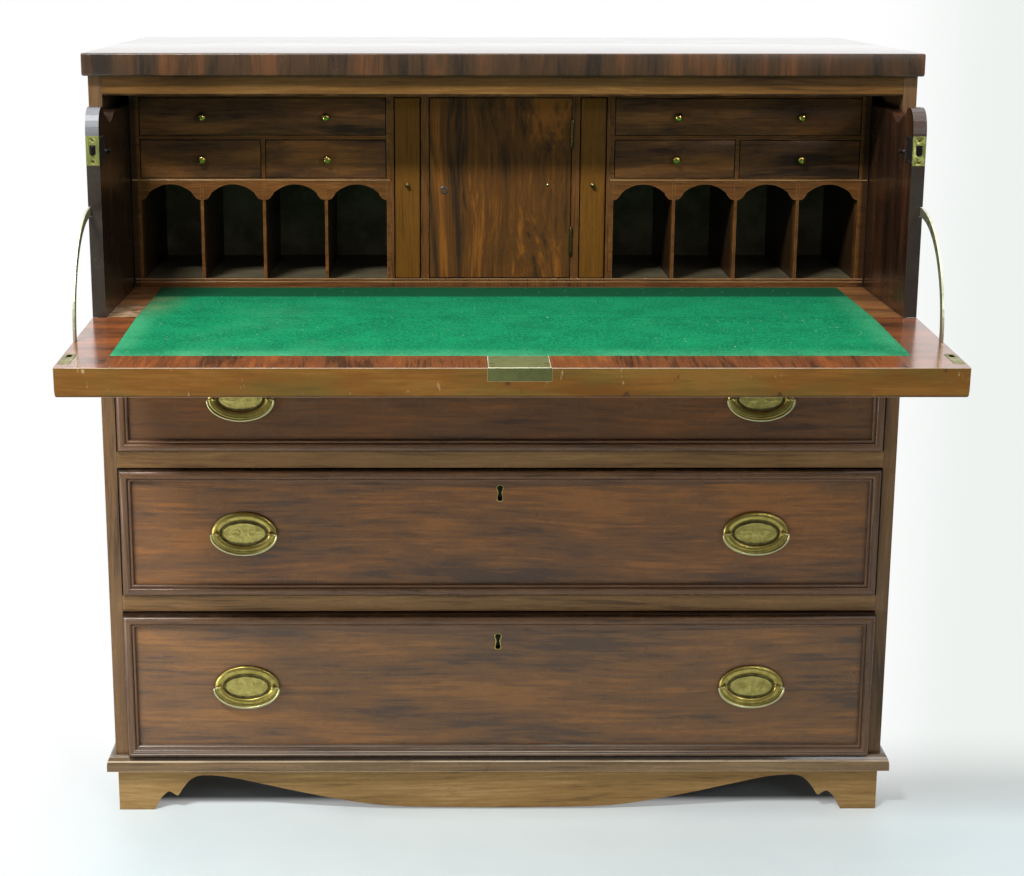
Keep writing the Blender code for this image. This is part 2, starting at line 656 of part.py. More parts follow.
def bail_mesh(name):
    """A bail: half an oval of rod whose thin ends turn in to the posts. It hangs from its pivot line."""
    curve = bpy.data.curves.new(name, "CURVE")
    curve.dimensions = "3D"
    curve.bevel_depth = BAIL_RADIUS
    curve.bevel_resolution = 2
    curve.use_fill_caps = True
    spline = curve.splines.new("POLY")
    pin_share = BAIL_PIN_RADIUS / BAIL_RADIUS
    inside = POST_FROM_CENTRE + BAIL_PIN_REACH
    shoulder = POST_FROM_CENTRE + POST_RADIUS + FIT
    path = [(-inside, 0.0, pin_share), (-shoulder, 0.0, pin_share)]
    for step in range(BAIL_STEPS + 1):
        angle = math.radians(180.0) * step / BAIL_STEPS
        path.append((-BAIL_HALF_WIDTH * math.cos(angle), -BAIL_DROP * math.sin(angle) - BAIL_PIN_RADIUS, 1.0))
    path += [(shoulder, 0.0, pin_share), (inside, 0.0, pin_share)]
    spline.points.add(len(path) - 1)
    for point, (across, down, radius) in zip(spline.points, path):
        point.co = (across, 0.0, down, 1.0)
        point.radius = radius
    mesh = solid_of_curve(name, curve, Matrix.Identity(4))
    mesh.shade_smooth()
    return mesh


def add_handle(plate_name, bail_name, parent, centre, swing=0.0):
    """An oval plate with two posts, and the bail that hangs between them, turned about its pivot by swing."""
    plate = place(plate_name, plate_mesh(plate_name), BRASS, parent, centre)
    pivot = Vector(centre) + Vector((0.0, -PIVOT_RISE, 0.0))
    for word, sign in (("left", -1), ("right", 1)):
        foot = Vector(centre) + Vector((sign * POST_FROM_CENTRE, 0.0, 0.0))
        name = f"{plate_name}_post_{word}"
        cut_with(plate, place_cutter(name, post_mesh(name), parent, foot), "UNION")
        outer = POST_FROM_CENTRE + POST_RADIUS + OVERRUN
        ends = sorted((sign * (POST_FROM_CENTRE + BAIL_PIN_REACH - FIT), sign * outer))
        reach = BAIL_PIN_RADIUS + BAIL_PIN_CLEARANCE
        cut_box(
            plate, f"{plate_name}_pin_hole_{word}",
            pivot + Vector((ends[0], -reach, -reach)), pivot + Vector((ends[1], reach, reach)),
        )
    hinge = empty(f"{bail_name}_pivot", pivot, parent, swing)
    place(bail_name, bail_mesh(bail_name), BRASS, hinge, (0.0, 0.0, 0.0))


def build_drawers(root):
    """Three long drawers, numbered from the top, with framed fronts and oval handles."""
    count = len(DRAWER_OPENINGS)
    for index, (floor, opening) in enumerate(zip(DRAWER_FLOORS, DRAWER_OPENINGS)):
        number = count - index
        out = LOWEST_DRAWER_OUT if index == 0 else 0.0
        frame = empty(f"drawer_{number}", (0.0, -out, floor + FIT), root)
        height = opening - DRAWER_TOP_CLEARANCE
        framed_board(
            f"drawer_front_{number}", 2 * HALF_DRAWER, height, DRAWER_FRONT_THICKNESS, MAHOGANY_DARK, frame,
            (0.0, 0.0, 0.0),
        )
        build_drawer_box(f"drawer_box_{number}", height - DRAWER_SIDE_DROP, frame)
        for word, sign in (("left", -1), ("right", 1)):
            add_handle(
                f"drawer_plate_{number}_{word}", f"drawer_bail_{number}_{word}", frame,
                (sign * HANDLE_FROM_CENTRE, -FIT, height / 2),
            )


def build_drawer_box(name, height, frame):
    """A drawer's sides, back and raised bottom. Its front end is open, where the front closes it."""
    start = DRAWER_FRONT_THICKNESS + FIT
    box = board(name, (-HALF_DRAWER, start, 0.0), (HALF_DRAWER, DRAWER_DEPTH, height), DRAWER_OAK, frame)
    inner = HALF_DRAWER - DRAWER_WALL
    bottom_top = DRAWER_BOTTOM_RAISE + DRAWER_BOTTOM_THICKNESS
    cut_box(
        box, f"{name}_hollow",
        (-inner, start - OVERRUN, bottom_top), (inner, DRAWER_DEPTH - DRAWER_WALL, height + OVERRUN),
    )
    cut_box(
        box, f"{name}_underside",
        (-inner, start - OVERRUN, -OVERRUN), (inner, DRAWER_DEPTH + OVERRUN, DRAWER_BOTTOM_RAISE),
    )


def build_writing_drawer(root):
    """The drawer that pulls out to write at: floor, cheeks, back and gallery. Its frame lies on the hinge line."""
    frame = empty("writing_drawer", (0.0, -WRITING_DRAWER_OUT, HINGE_LEVEL), root)
    inside = CHEEK_INNER - FIT
    floor_end = WRITING_DRAWER_DEPTH - WRITING_BACK_THICKNESS - FIT
    floor = board("writing_floor", (-inside, HINGE_GAP, -FLOOR_THICKNESS), (inside, floor_end, 0.0), MAHOGANY_DARK, frame)
    swing = math.hypot(LIP_LENGTH, FALL_THICKNESS + FRAME_PROUD) + LIP_SWEEP_CLEARANCE
    for name, start in (("front_bearer", swing), ("rear_bearer", floor_end - BEARER_DEPTH)):
        cut_box(
            floor, name, (-inside, start, CHEEK_FOOT),
            (inside, start + BEARER_DEPTH, BEARER_OVERLAP - FLOOR_THICKNESS), "UNION",
        )
    bed_end = GALLERY_SETBACK - BAIZE_BACK_MARGIN
    cut_box(
        floor, "bed_recess",
        (-BAIZE_HALF_WIDTH, HINGE_GAP - OVERRUN, -BAIZE_THICKNESS), (BAIZE_HALF_WIDTH, bed_end, OVERRUN),
    )
    board(
        "baize_bed",
        (FIT - BAIZE_HALF_WIDTH, 2 * HINGE_GAP, FIT - BAIZE_THICKNESS),
        (BAIZE_HALF_WIDTH - FIT, bed_end - FIT, BAIZE_PROUD),
        BAIZE, frame,
    )
    board(
        "writing_back",
        (-inside, WRITING_DRAWER_DEPTH - WRITING_BACK_THICKNESS, CHEEK_FOOT),
        (inside, WRITING_DRAWER_DEPTH, CHEEK_HEIGHT - WRITING_BACK_DROP),
        DRAWER_OAK, frame,
    )
    for word, sign in (("left", -1), ("right", 1)):
        build_cheek(word, sign, swing, frame)
        build_bank(word, sign, frame)
    build_centre(frame)
    return frame


def cheek_outline():
    """A cheek from the side: an eared front corner, and a scoop for the fingers in its top edge."""
    top = CHEEK_HEIGHT - CHEEK_EAR_DROP
    points = [(HINGE_GAP, CHEEK_FOOT), (HINGE_GAP, CHEEK_HEIGHT - CHEEK_EAR_HEIGHT)]
    for step in range(1, EAR_STEPS + 1):
        angle = math.radians(90.0) * step / EAR_STEPS
        along = HINGE_GAP + CHEEK_EAR_DEPTH * (1 - math.cos(angle)) / 2
        points.append((along, CHEEK_HEIGHT - CHEEK_EAR_HEIGHT * (1 - math.sin(angle))))
    points += [(CHEEK_EAR_DEPTH * 3 / 4, CHEEK_HEIGHT), (CHEEK_EAR_DEPTH, top)]
    for step in range(SCOOP_STEPS + 1):
        share = step / SCOOP_STEPS
        along = SCOOP_FROM_FRONT + SCOOP_WIDTH * (share - 0.5)
        points.append((along, top - SCOOP_DEPTH * (1 - math.cos(math.radians(360.0) * share)) / 2))
    return points + [(WRITING_DRAWER_DEPTH, top), (WRITING_DRAWER_DEPTH, CHEEK_FOOT)]


def build_cheek(word, sign, swing, frame):
    """One side of the writing drawer, with the stay's groove, the lip's notch and the spring catch."""
    name = f"cheek_{word}"
    mesh = outline_mesh(name, cheek_outline(), CHEEK_THICKNESS, SIDE_VIEW)
    middle = sign * (HALF_DRAWER - CHEEK_THICKNESS / 2)
    cheek = place(name, mesh, MAHOGANY_DARK, frame, (middle, 0.0, 0.0))
    notch = sector(0.0, swing, math.radians(90.0), math.radians(270.0), NOTCH_SIDES)[:-NOTCH_SIDES]
    notch_mesh = outline_mesh(f"{name}_notch", notch, 2 * CHEEK_THICKNESS, SIDE_VIEW)
    cut_with(cheek, place_cutter(f"{name}_notch", notch_mesh, frame, (middle, 0.0, 0.0)))
    groove = sector(
        STAY_RADIUS - STAY_WIDTH / 2 - STAY_GROOVE_CLEARANCE, STAY_RADIUS + STAY_WIDTH / 2 + STAY_GROOVE_CLEARANCE,
        -STAY_PAST_CHEEK - STAY_GROOVE_EXTRA, FALL_OPEN_ANGLE + STAY_PAST_CHEEK + STAY_GROOVE_EXTRA, STAY_STEPS,
    )
    depth = STAY_THICKNESS + 3 * FIT + OVERRUN
    groove_mesh = outline_mesh(f"{name}_groove", groove, depth, SIDE_VIEW)
    groove_middle = sign * (HALF_DRAWER - STAY_THICKNESS - 3 * FIT + depth / 2)
    cut_with(cheek, place_cutter(f"{name}_groove", groove_mesh, frame, (groove_middle, 0.0, 0.0)))
    half_width, half_height = CATCH_BOLT_WIDTH / 2, CATCH_BOLT_HEIGHT / 2
    cut_box(
        cheek, f"{name}_pocket",
        (middle - half_width - CATCH_CLEARANCE, -OVERRUN, CATCH_LEVEL - half_height - CATCH_CLEARANCE),
        (middle + half_width + CATCH_CLEARANCE, CATCH_POCKET_DEPTH, CATCH_LEVEL + half_height + CATCH_CLEARANCE),
    )
    board(
        f"catch_bolt_{word}",
        (middle - half_width, -CATCH_BOLT_PROUD, CATCH_LEVEL - half_height),
        (middle + half_width, CATCH_BOLT_LENGTH - CATCH_BOLT_PROUD, CATCH_LEVEL + half_height),
        BRASS, frame, CATCH_BOLT_NOSE,
    )


def valance_outline(start, cell):
    """The arched valance over one bank of pigeonholes, its crest under the shelf."""
    top = PIGEONHOLE_ROOF + GALLERY_SHELF / 2
    foot = PIGEONHOLE_ROOF - VALANCE_DROP
    wall = PIGEONHOLE_DIVIDER / 2
    half = smoothed(VALANCE_FOOT_SHARES, VALANCE_SMOOTHNESS) + smoothed(VALANCE_ARCH_SHARES, VALANCE_SMOOTHNESS)
    arch = half + [(1 - along, up) for along, up in reversed(half[:-1])]
    points = [(start - wall, top), (start - wall, foot)]
    for index in range(PIGEONHOLE_COUNT):
        left = start + index * (cell + PIGEONHOLE_DIVIDER)
        points += [(left + cell * along, foot + VALANCE_DROP * up) for along, up in arch]
    end = start + PIGEONHOLE_COUNT * cell + (PIGEONHOLE_COUNT - 1) * PIGEONHOLE_DIVIDER
    return points + [(end + wall, foot), (end + wall, top)]


def build_bank(word, sign, frame):
    """Four pigeonholes under two small drawers and a long one, as one case with its drawers."""
    outer, inner = CHEEK_INNER - 2 * FIT, CENTRE_HALF_WIDTH + 2 * FIT
    low, high = sorted((sign * inner, sign * outer))
    case = board(
        f"pigeonholes_{word}", (low, GALLERY_SETBACK, FIT), (high, GALLERY_REAR - FIT, GALLERY_HEIGHT),
        MAHOGANY_GOLDEN, frame,
    )
    near, far = (BANK_INNER_WALL, BANK_OUTER_WALL) if sign > 0 else (BANK_OUTER_WALL, BANK_INNER_WALL)
    left, right = low + near, high - far
    front, rear = GALLERY_SETBACK - OVERRUN, GALLERY_REAR - GALLERY_BACK
    cell = (right - left - (PIGEONHOLE_COUNT - 1) * PIGEONHOLE_DIVIDER) / PIGEONHOLE_COUNT
    roof = PIGEONHOLE_ROOF
    for index in range(PIGEONHOLE_COUNT):
        start = left + index * (cell + PIGEONHOLE_DIVIDER)
        cut_box(case, f"pigeonhole_{word}_{index + 1}", (start, front, GALLERY_BASE), (start + cell, rear, roof))
    shaped = valance_outline(left, cell)
    valance = outline_mesh(f"valance_{word}", shaped, VALANCE_THICKNESS, FRONT_VIEW)
    middle = (0.0, GALLERY_SETBACK + FIT + VALANCE_THICKNESS / 2, 0.0)
    cut_with(case, place_cutter(f"valance_{word}", valance, frame, middle), "UNION")
    small_floor = roof + GALLERY_SHELF
    width = (right - left - (SMALL_DRAWER_COUNT - 1) * SMALL_DIVIDER) / SMALL_DRAWER_COUNT
    for index in range(SMALL_DRAWER_COUNT):
        start = left + index * (width + SMALL_DIVIDER)
        name = f"small_drawer_{word}_{index + 1}"
        cut_box(case, f"{name}_opening", (start, front, small_floor), (start + width, rear, small_floor + SMALL_OPENING))
        build_gallery_drawer(name, start, width, small_floor, SMALL_OPENING, (0.0,), MAHOGANY_GOLDEN, frame)
    long_floor = small_floor + SMALL_OPENING + GALLERY_SHELF
    cut_box(case, f"long_drawer_{word}_opening", (left, front, long_floor), (right, rear, long_floor + LONG_OPENING))
    build_gallery_drawer(
        f"long_drawer_{word}", left, right - left, long_floor, LONG_OPENING,
        (-LONG_KNOB_FROM_CENTRE, LONG_KNOB_FROM_CENTRE), MAHOGANY_DARK, frame,
    )


def knob_mesh(name, radius, length):
    """A small turned knob on a neck, standing out towards -Y."""
    profile = [
        (0.0, length), (radius * 3 / 4, length - radius / 6), (radius, length - radius / 2),
        (radius * 3 / 4, length - radius), (KNOB_NECK_RADIUS, length - radius * 5 / 4),
        (KNOB_NECK_RADIUS, -GALLERY_DRAWER_WALL / 2), (0.0, -GALLERY_DRAWER_WALL / 2),
    ]
    return turned_mesh(name, profile, KNOB_SIDES, Matrix.Rotation(math.radians(90.0), 4, "X"))


def build_gallery_drawer(name, start, width, floor, opening, knobs, finish, frame):
    """A small drawer in its opening, with brass knobs at the given places from its middle."""
    size = (
        width - 2 * GALLERY_DRAWER_CLEARANCE, GALLERY_DRAWER_DEPTH, opening - FIT - GALLERY_DRAWER_CLEARANCE,
    )
    location = Vector((start + width / 2, GALLERY_SETBACK, floor + FIT))
    drawer = tray(
        name, size, GALLERY_DRAWER_WALL, GALLERY_DRAWER_FRONT, GALLERY_DRAWER_BOTTOM, finish, frame, location
    )
    for index, across in enumerate(knobs):
        knob_name = f"{name}_knob_{index + 1}"
        knob = place_cutter(
            knob_name, knob_mesh(knob_name, KNOB_RADIUS, KNOB_LENGTH), frame,
            location + Vector((across, 0.0, size[2] / 2)),
        )
        cut_with(drawer, knob, "UNION")


def build_centre(frame):
    """The centre case, its door and the two upright document slides."""
    top = GALLERY_HEIGHT
    case = board(
        "centre_case", (-CENTRE_HALF_WIDTH, GALLERY_SETBACK, FIT), (CENTRE_HALF_WIDTH, GALLERY_REAR - FIT, top),
        MAHOGANY_GOLDEN, frame,
    )
    roof = top - CENTRE_TOP
    front, rear = GALLERY_SETBACK - OVERRUN, GALLERY_REAR - GALLERY_BACK
    cut_box(
        case, "door_compartment",
        (-DOOR_OPENING_HALF_WIDTH, front, CENTRE_BASE), (DOOR_OPENING_HALF_WIDTH, rear, roof),
    )
    slot = (DOOR_OPENING_HALF_WIDTH + CENTRE_PARTITION, CENTRE_HALF_WIDTH - CENTRE_OUTER_WALL)
    for word, sign in (("left", -1), ("right", 1)):
        low, high = sorted((sign * slot[0], sign * slot[1]))
        cut_box(case, f"slide_slot_{word}", (low, front, CENTRE_BASE), (high, rear, roof))
        width, height = high - low - 2 * GALLERY_DRAWER_CLEARANCE, roof - CENTRE_BASE - FIT - GALLERY_DRAWER_CLEARANCE
        location = Vector(((low + high) / 2, GALLERY_SETBACK, CENTRE_BASE + FIT))
        name = f"document_slide_{word}"
        slide = tray(
            name, (width, GALLERY_DRAWER_DEPTH, height), SLIDE_WALL, SLIDE_FRONT, SLIDE_WALL, MAHOGANY_GOLDEN,
            frame, location,
        )
        pull_name = f"{name}_pull"
        pull = place_cutter(
            pull_name, knob_mesh(pull_name, SLIDE_PULL_RADIUS, SLIDE_PULL_LENGTH), frame,
            location + Vector((0.0, 0.0, height * SLIDE_PULL_SHARE)),
        )
        cut_with(slide, pull, "UNION")
    half = DOOR_OPENING_HALF_WIDTH - DOOR_CLEARANCE
    hinge = empty("prospect_door_hinge", (half, GALLERY_SETBACK - DOOR_HINGE_PROUD, CENTRE_BASE + DOOR_CLEARANCE), frame)
    board(
        "prospect_door",
        (-2 * half, DOOR_HINGE_PROUD, 0.0),
        (0.0, DOOR_HINGE_PROUD + DOOR_THICKNESS, roof - CENTRE_BASE - 2 * DOOR_CLEARANCE),
        MAHOGANY_FLAME, hinge,
    )


def build_fall(frame):
    """The fall front, modelled upright on its hinge line and turned down to rest on its stop."""
    fall_frame = empty("fall_hinge_line", (0.0, 0.0, 0.0), frame, FALL_OPEN_ANGLE)
    fall = framed_board(
        "fall_front", 2 * HALF_DRAWER, LIP_LENGTH + FALL_LENGTH, FALL_THICKNESS, MAHOGANY_DARK, fall_frame,
        (0.0, -FALL_THICKNESS, -LIP_LENGTH),
    )
    wide = HALF_DRAWER + OVERRUN
    cut_box(fall, "lip_rebate", (-wide, -LIP_INSET, -LIP_LENGTH - OVERRUN), (wide, OVERRUN, HINGE_GAP))
    baize_top = FALL_LENGTH - BAIZE_FRONT_MARGIN
    cut_box(
        fall, "fall_recess", (-BAIZE_HALF_WIDTH, -BAIZE_THICKNESS, HINGE_GAP - OVERRUN),
        (BAIZE_HALF_WIDTH, OVERRUN, baize_top),
    )
    board(
        "baize_fall",
        (FIT - BAIZE_HALF_WIDTH, FIT - BAIZE_THICKNESS, 2 * HINGE_GAP),
        (BAIZE_HALF_WIDTH - FIT, BAIZE_PROUD, baize_top - FIT),
        BAIZE, fall_frame,
    )
    build_lock(fall, baize_top, fall_frame)
    for word, sign in (("left", -1), ("right", 1)):
        build_stay(word, sign, fall, fall_frame)
        catch = sign * (HALF_DRAWER - CHEEK_THICKNESS / 2)
        half_width = CATCH_BOLT_WIDTH / 2 + STRIKE_MARGIN
        half_height = CATCH_BOLT_HEIGHT / 2 + STRIKE_MARGIN
        cut_box(
            fall, f"strike_{word}", (catch - half_width, -STRIKE_DEPTH, CATCH_LEVEL - half_height),
            (catch + half_width, OVERRUN, CATCH_LEVEL + half_height),
        )
        add_handle(
            f"fall_plate_{word}", f"fall_bail_{word}", fall_frame,
            (sign * HANDLE_FROM_CENTRE, -FALL_THICKNESS - FIT, FALL_HANDLE_LEVEL), -FALL_OPEN_ANGLE,
        )


def build_lock(fall, start, fall_frame):
    """The lock's brass plate, let into the fall's inner face and bent over its edge."""
    thin = LOCK_PLATE_THICKNESS
    left, right = LOCK_FROM_CENTRE - LOCK_WIDTH / 2, LOCK_FROM_CENTRE + LOCK_WIDTH / 2
    cut_box(fall, "lock_recess", (left, -thin, start), (right, OVERRUN, FALL_LENGTH + OVERRUN))
    cut_box(
        fall, "lock_edge_recess",
        (left, -LOCK_EDGE_REACH, FALL_LENGTH - thin), (right, OVERRUN, FALL_LENGTH + OVERRUN),
    )
    section = [
        (0.0, start + FIT), (0.0, FALL_LENGTH), (FIT - LOCK_EDGE_REACH, FALL_LENGTH),
        (FIT - LOCK_EDGE_REACH, FALL_LENGTH - thin + FIT), (FIT - thin, FALL_LENGTH - thin + FIT),
        (FIT - thin, start + FIT),
    ]
    mesh = outline_mesh("fall_lock", section, LOCK_WIDTH - 2 * FIT, SIDE_VIEW)
    place("fall_lock", mesh, BRASS, fall_frame, (LOCK_FROM_CENTRE, 0.0, 0.0))


def build_stay(word, sign, fall, fall_frame):
    """A brass quadrant stay: its foot is let into the fall's end, and its arc runs in the cheek's groove."""
    inner, outer = STAY_RADIUS - STAY_WIDTH / 2, STAY_RADIUS + STAY_WIDTH / 2
    outline = sector(inner, outer, 0.0, FALL_OPEN_ANGLE + STAY_PAST_CHEEK, STAY_STEPS)
    outline = [(-STAY_FOOT_LENGTH, outer), *outline, (-STAY_FOOT_LENGTH, inner)]
    name = f"stay_{word}"
    mesh = outline_mesh(name, outline, STAY_THICKNESS, SIDE_VIEW)
    place(name, mesh, BRASS, fall_frame, (sign * (HALF_DRAWER - FIT - STAY_THICKNESS / 2), 0.0, 0.0))
    ends = sorted((sign * (HALF_DRAWER - STAY_THICKNESS - 2 * FIT), sign * (HALF_DRAWER + OVERRUN)))
    cut_box(
        fall, f"{name}_housing",
        (ends[0], -STAY_FOOT_LENGTH - STAY_FOOT_CLEARANCE, inner - STAY_FOOT_CLEARANCE),
        (ends[1], OVERRUN, outer + STAY_FOOT_CLEARANCE),
    )


root_frame = empty("secretaire_chest", (0.0, ORIGIN_SHIFT, 0.0))
build_carcase(root_frame)
build_base(root_frame)
build_drawers(root_frame)
build_fall(build_writing_drawer(root_frame))
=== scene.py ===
"""Dresses the secretaire chest: finer wood, brass and baize over the fixed frame of solids.

The chest stands as it does when someone is about to write: writing drawer out, fall down.
All sizes are in metres, and every piece lies in the frame's own place.
"""

import json
import logging
import math
from collections.abc import Callable, Iterator
from contextlib import contextmanager
from dataclasses import dataclass
from enum import Enum
from functools import cache

import bmesh
import bpy
from mathutils import Matrix, Vector


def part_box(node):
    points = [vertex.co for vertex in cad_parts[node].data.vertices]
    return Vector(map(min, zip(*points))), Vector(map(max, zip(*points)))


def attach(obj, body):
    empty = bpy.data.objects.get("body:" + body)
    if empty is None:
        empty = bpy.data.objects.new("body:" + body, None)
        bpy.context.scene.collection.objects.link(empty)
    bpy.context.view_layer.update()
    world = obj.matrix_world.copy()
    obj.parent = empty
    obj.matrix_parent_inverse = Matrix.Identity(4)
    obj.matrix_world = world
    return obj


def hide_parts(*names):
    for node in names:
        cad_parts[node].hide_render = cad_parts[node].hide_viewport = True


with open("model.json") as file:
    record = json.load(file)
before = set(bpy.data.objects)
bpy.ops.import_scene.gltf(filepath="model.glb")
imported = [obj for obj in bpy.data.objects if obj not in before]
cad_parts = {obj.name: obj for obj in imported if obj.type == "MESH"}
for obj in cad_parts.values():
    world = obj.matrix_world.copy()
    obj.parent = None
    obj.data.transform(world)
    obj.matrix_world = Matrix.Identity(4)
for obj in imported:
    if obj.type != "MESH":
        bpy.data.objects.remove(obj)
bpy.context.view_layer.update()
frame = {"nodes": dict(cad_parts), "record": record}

LOG = logging.getLogger("secretaire")

Pair = tuple[float, float]
Colour = tuple[float, float, float]
Place = tuple[float, float, float]
Piece = bpy.types.Object
Socket = bpy.types.NodeSocket
Material = bpy.types.Material
Tree = bpy.types.NodeTree
Facet = bpy.types.MeshPolygon
Wanted = Callable[[Vector, Vector], bool]

SHADOW: Colour = (0.006, 0.004, 0.003)
DARK_JOINT: Colour = (0.01, 0.006, 0.004)
ARRIS_HIGHLIGHT: Colour = (0.66, 0.52, 0.40)


class Grain(Enum):
    """The way a piece's grain runs in the standing chest."""

    ACROSS = (0, 1, 2)
    DEEP = (1, 0, 2)
    UPRIGHT = (2, 0, 1)


class Side(Enum):
    """The chest's two sides, each with the sign of its X."""

    LEFT = -1
    RIGHT = 1

    @property
    def word(self) -> str:
        """The side's name as the frame's nodes spell it."""
        return self.name.lower()


# ---------------------------------------------------------------- nodes of materials


class Value:
    """What a node puts out: reckoning with it adds the nodes that the sum needs."""

    def __init__(self, sheet: "NodeSheet", socket: Socket) -> None:
        """Keeps the output, and the sheet that further nodes go on."""
        self.sheet, self.socket = sheet, socket

    def __add__(self, other: object) -> "Value":
        """The two added."""
        return self.sheet.sum("ADD", self, other)

    def __sub__(self, other: object) -> "Value":
        """The other taken from this."""
        return self.sheet.sum("SUBTRACT", self, other)

    def __rsub__(self, other: object) -> "Value":
        """This taken from the other."""
        return self.sheet.sum("SUBTRACT", other, self)

    def __mul__(self, other: object) -> "Value":
        """The two multiplied."""
        return self.sheet.sum("MULTIPLY", self, other)

    def __truediv__(self, other: object) -> "Value":
        """This divided by the other."""
        return self.sheet.sum("DIVIDE", self, other)

    def __abs__(self) -> "Value":
        """This without its sign."""
        return self.sheet.sum("ABSOLUTE", self)

    __radd__, __rmul__ = __add__, __mul__

    def scaled(self, factors: object) -> "Value":
        """A vector stretched along its three axes."""
        return self.sheet.shift("MULTIPLY", self, factors)

    def parts(self) -> tuple["Value", "Value", "Value"]:
        """A vector's three parts."""
        return tuple(self.sheet.outputs(self.sheet.add("ShaderNodeSeparateXYZ", {"Vector": self})).values())

    def noise(self, scale: float, detail: float = 2.0, rough: float = 0.5) -> "Value":
        """A cloudy value over this place, as many lumps to the metre as its scale."""
        feeds = {"Vector": self, "Scale": scale, "Detail": detail, "Roughness": rough}
        return self.sheet.read("ShaderNodeTexNoise", "Fac", feeds)

    def span(self, start: object, end: object, low: float = 0.0, high: float = 1.0) -> "Value":
        """This value eased from low at start to high at end."""
        feeds = {"Value": self, "From Min": start, "From Max": end, "To Min": low, "To Max": high}
        return self.sheet.read("ShaderNodeMapRange", "Result", feeds, interpolation_type="SMOOTHSTEP")

    def under(self, share: object, over: object) -> "Value":
        """This colour with another laid over it by a share."""
        return self.sheet.blend(share, self, over)


Overlay = Callable[[Value, Value, Value], Value]


class NodeSheet:
    """Adds the nodes of one tree and joins them, in the order of the effect."""

    def __init__(self, tree: Tree) -> None:
        """Starts on a tree."""
        self.tree = tree

    def feed(self, socket: Socket, value: object) -> None:
        """Links a value into a socket, or writes its constant.

        Args:
            socket: The input that receives the value.
            value: A node's value, a number, a vector or a colour of three shares.
        """
        if isinstance(value, Value):
            self.tree.links.new(value.socket, socket)
        elif socket.type == "RGBA":
            socket.default_value = (*value, 1.0)
        else:
            socket.default_value = value

    def fill(self, node: bpy.types.Node, feeds: dict) -> bpy.types.Node:
        """Feeds several of a node's inputs, by name or number."""
        for name, value in feeds.items():
            self.feed(node.inputs[name], value)
        return node

    def add(self, kind: str, feeds: dict | None = None, **settings: object) -> bpy.types.Node:
        """Adds one node.

        Args:
            kind: The node's type name.
            feeds: Its inputs by name or number.
            **settings: Its own options.

        Returns:
            The new node.
        """
        node = self.tree.nodes.new(kind)
        for name, value in settings.items():
            setattr(node, name, value)
        return self.fill(node, feeds or {})

    def read(self, kind: str, output: str | int, feeds: dict | None = None, **settings: object) -> Value:
        """Adds one node and takes one of its outputs."""
        return Value(self, self.add(kind, feeds, **settings).outputs[output])

    def outputs(self, node: bpy.types.Node) -> dict[str, Value]:
        """All of a node's outputs, by name."""
        return {output.name: Value(self, output) for output in node.outputs}

    def sum(self, operation: str, first: object, second: object = 0.0, clamp: bool = False) -> Value:
        """One step of arithmetic on two values."""
        return self.read("ShaderNodeMath", 0, {0: first, 1: second}, operation=operation, use_clamp=clamp)

    def shift(self, operation: str, first: object, second: object, output: str | int = 0) -> Value:
        """One step of arithmetic on two vectors."""
        return self.read("ShaderNodeVectorMath", output, {0: first, 1: second}, operation=operation)

    def blend(self, share: object, under: object, over: object, kind: str = "MIX") -> Value:
        """Lays one colour over another by a share."""
        feeds = {0: share, 6: under, 7: over}
        return self.read("ShaderNodeMix", 2, feeds, data_type="RGBA", blend_type=kind)

    def vector(self, across: object, deep: object, up: object) -> Value:
        """Joins three values into a vector."""
        return self.read("ShaderNodeCombineXYZ", 0, {0: across, 1: deep, 2: up})

    def effect(self, group: Tree, **feeds: object) -> dict[str, Value]:
        """Places a shared effect and gives its results by name."""
        return self.outputs(self.add("ShaderNodeGroup", feeds, node_tree=group))


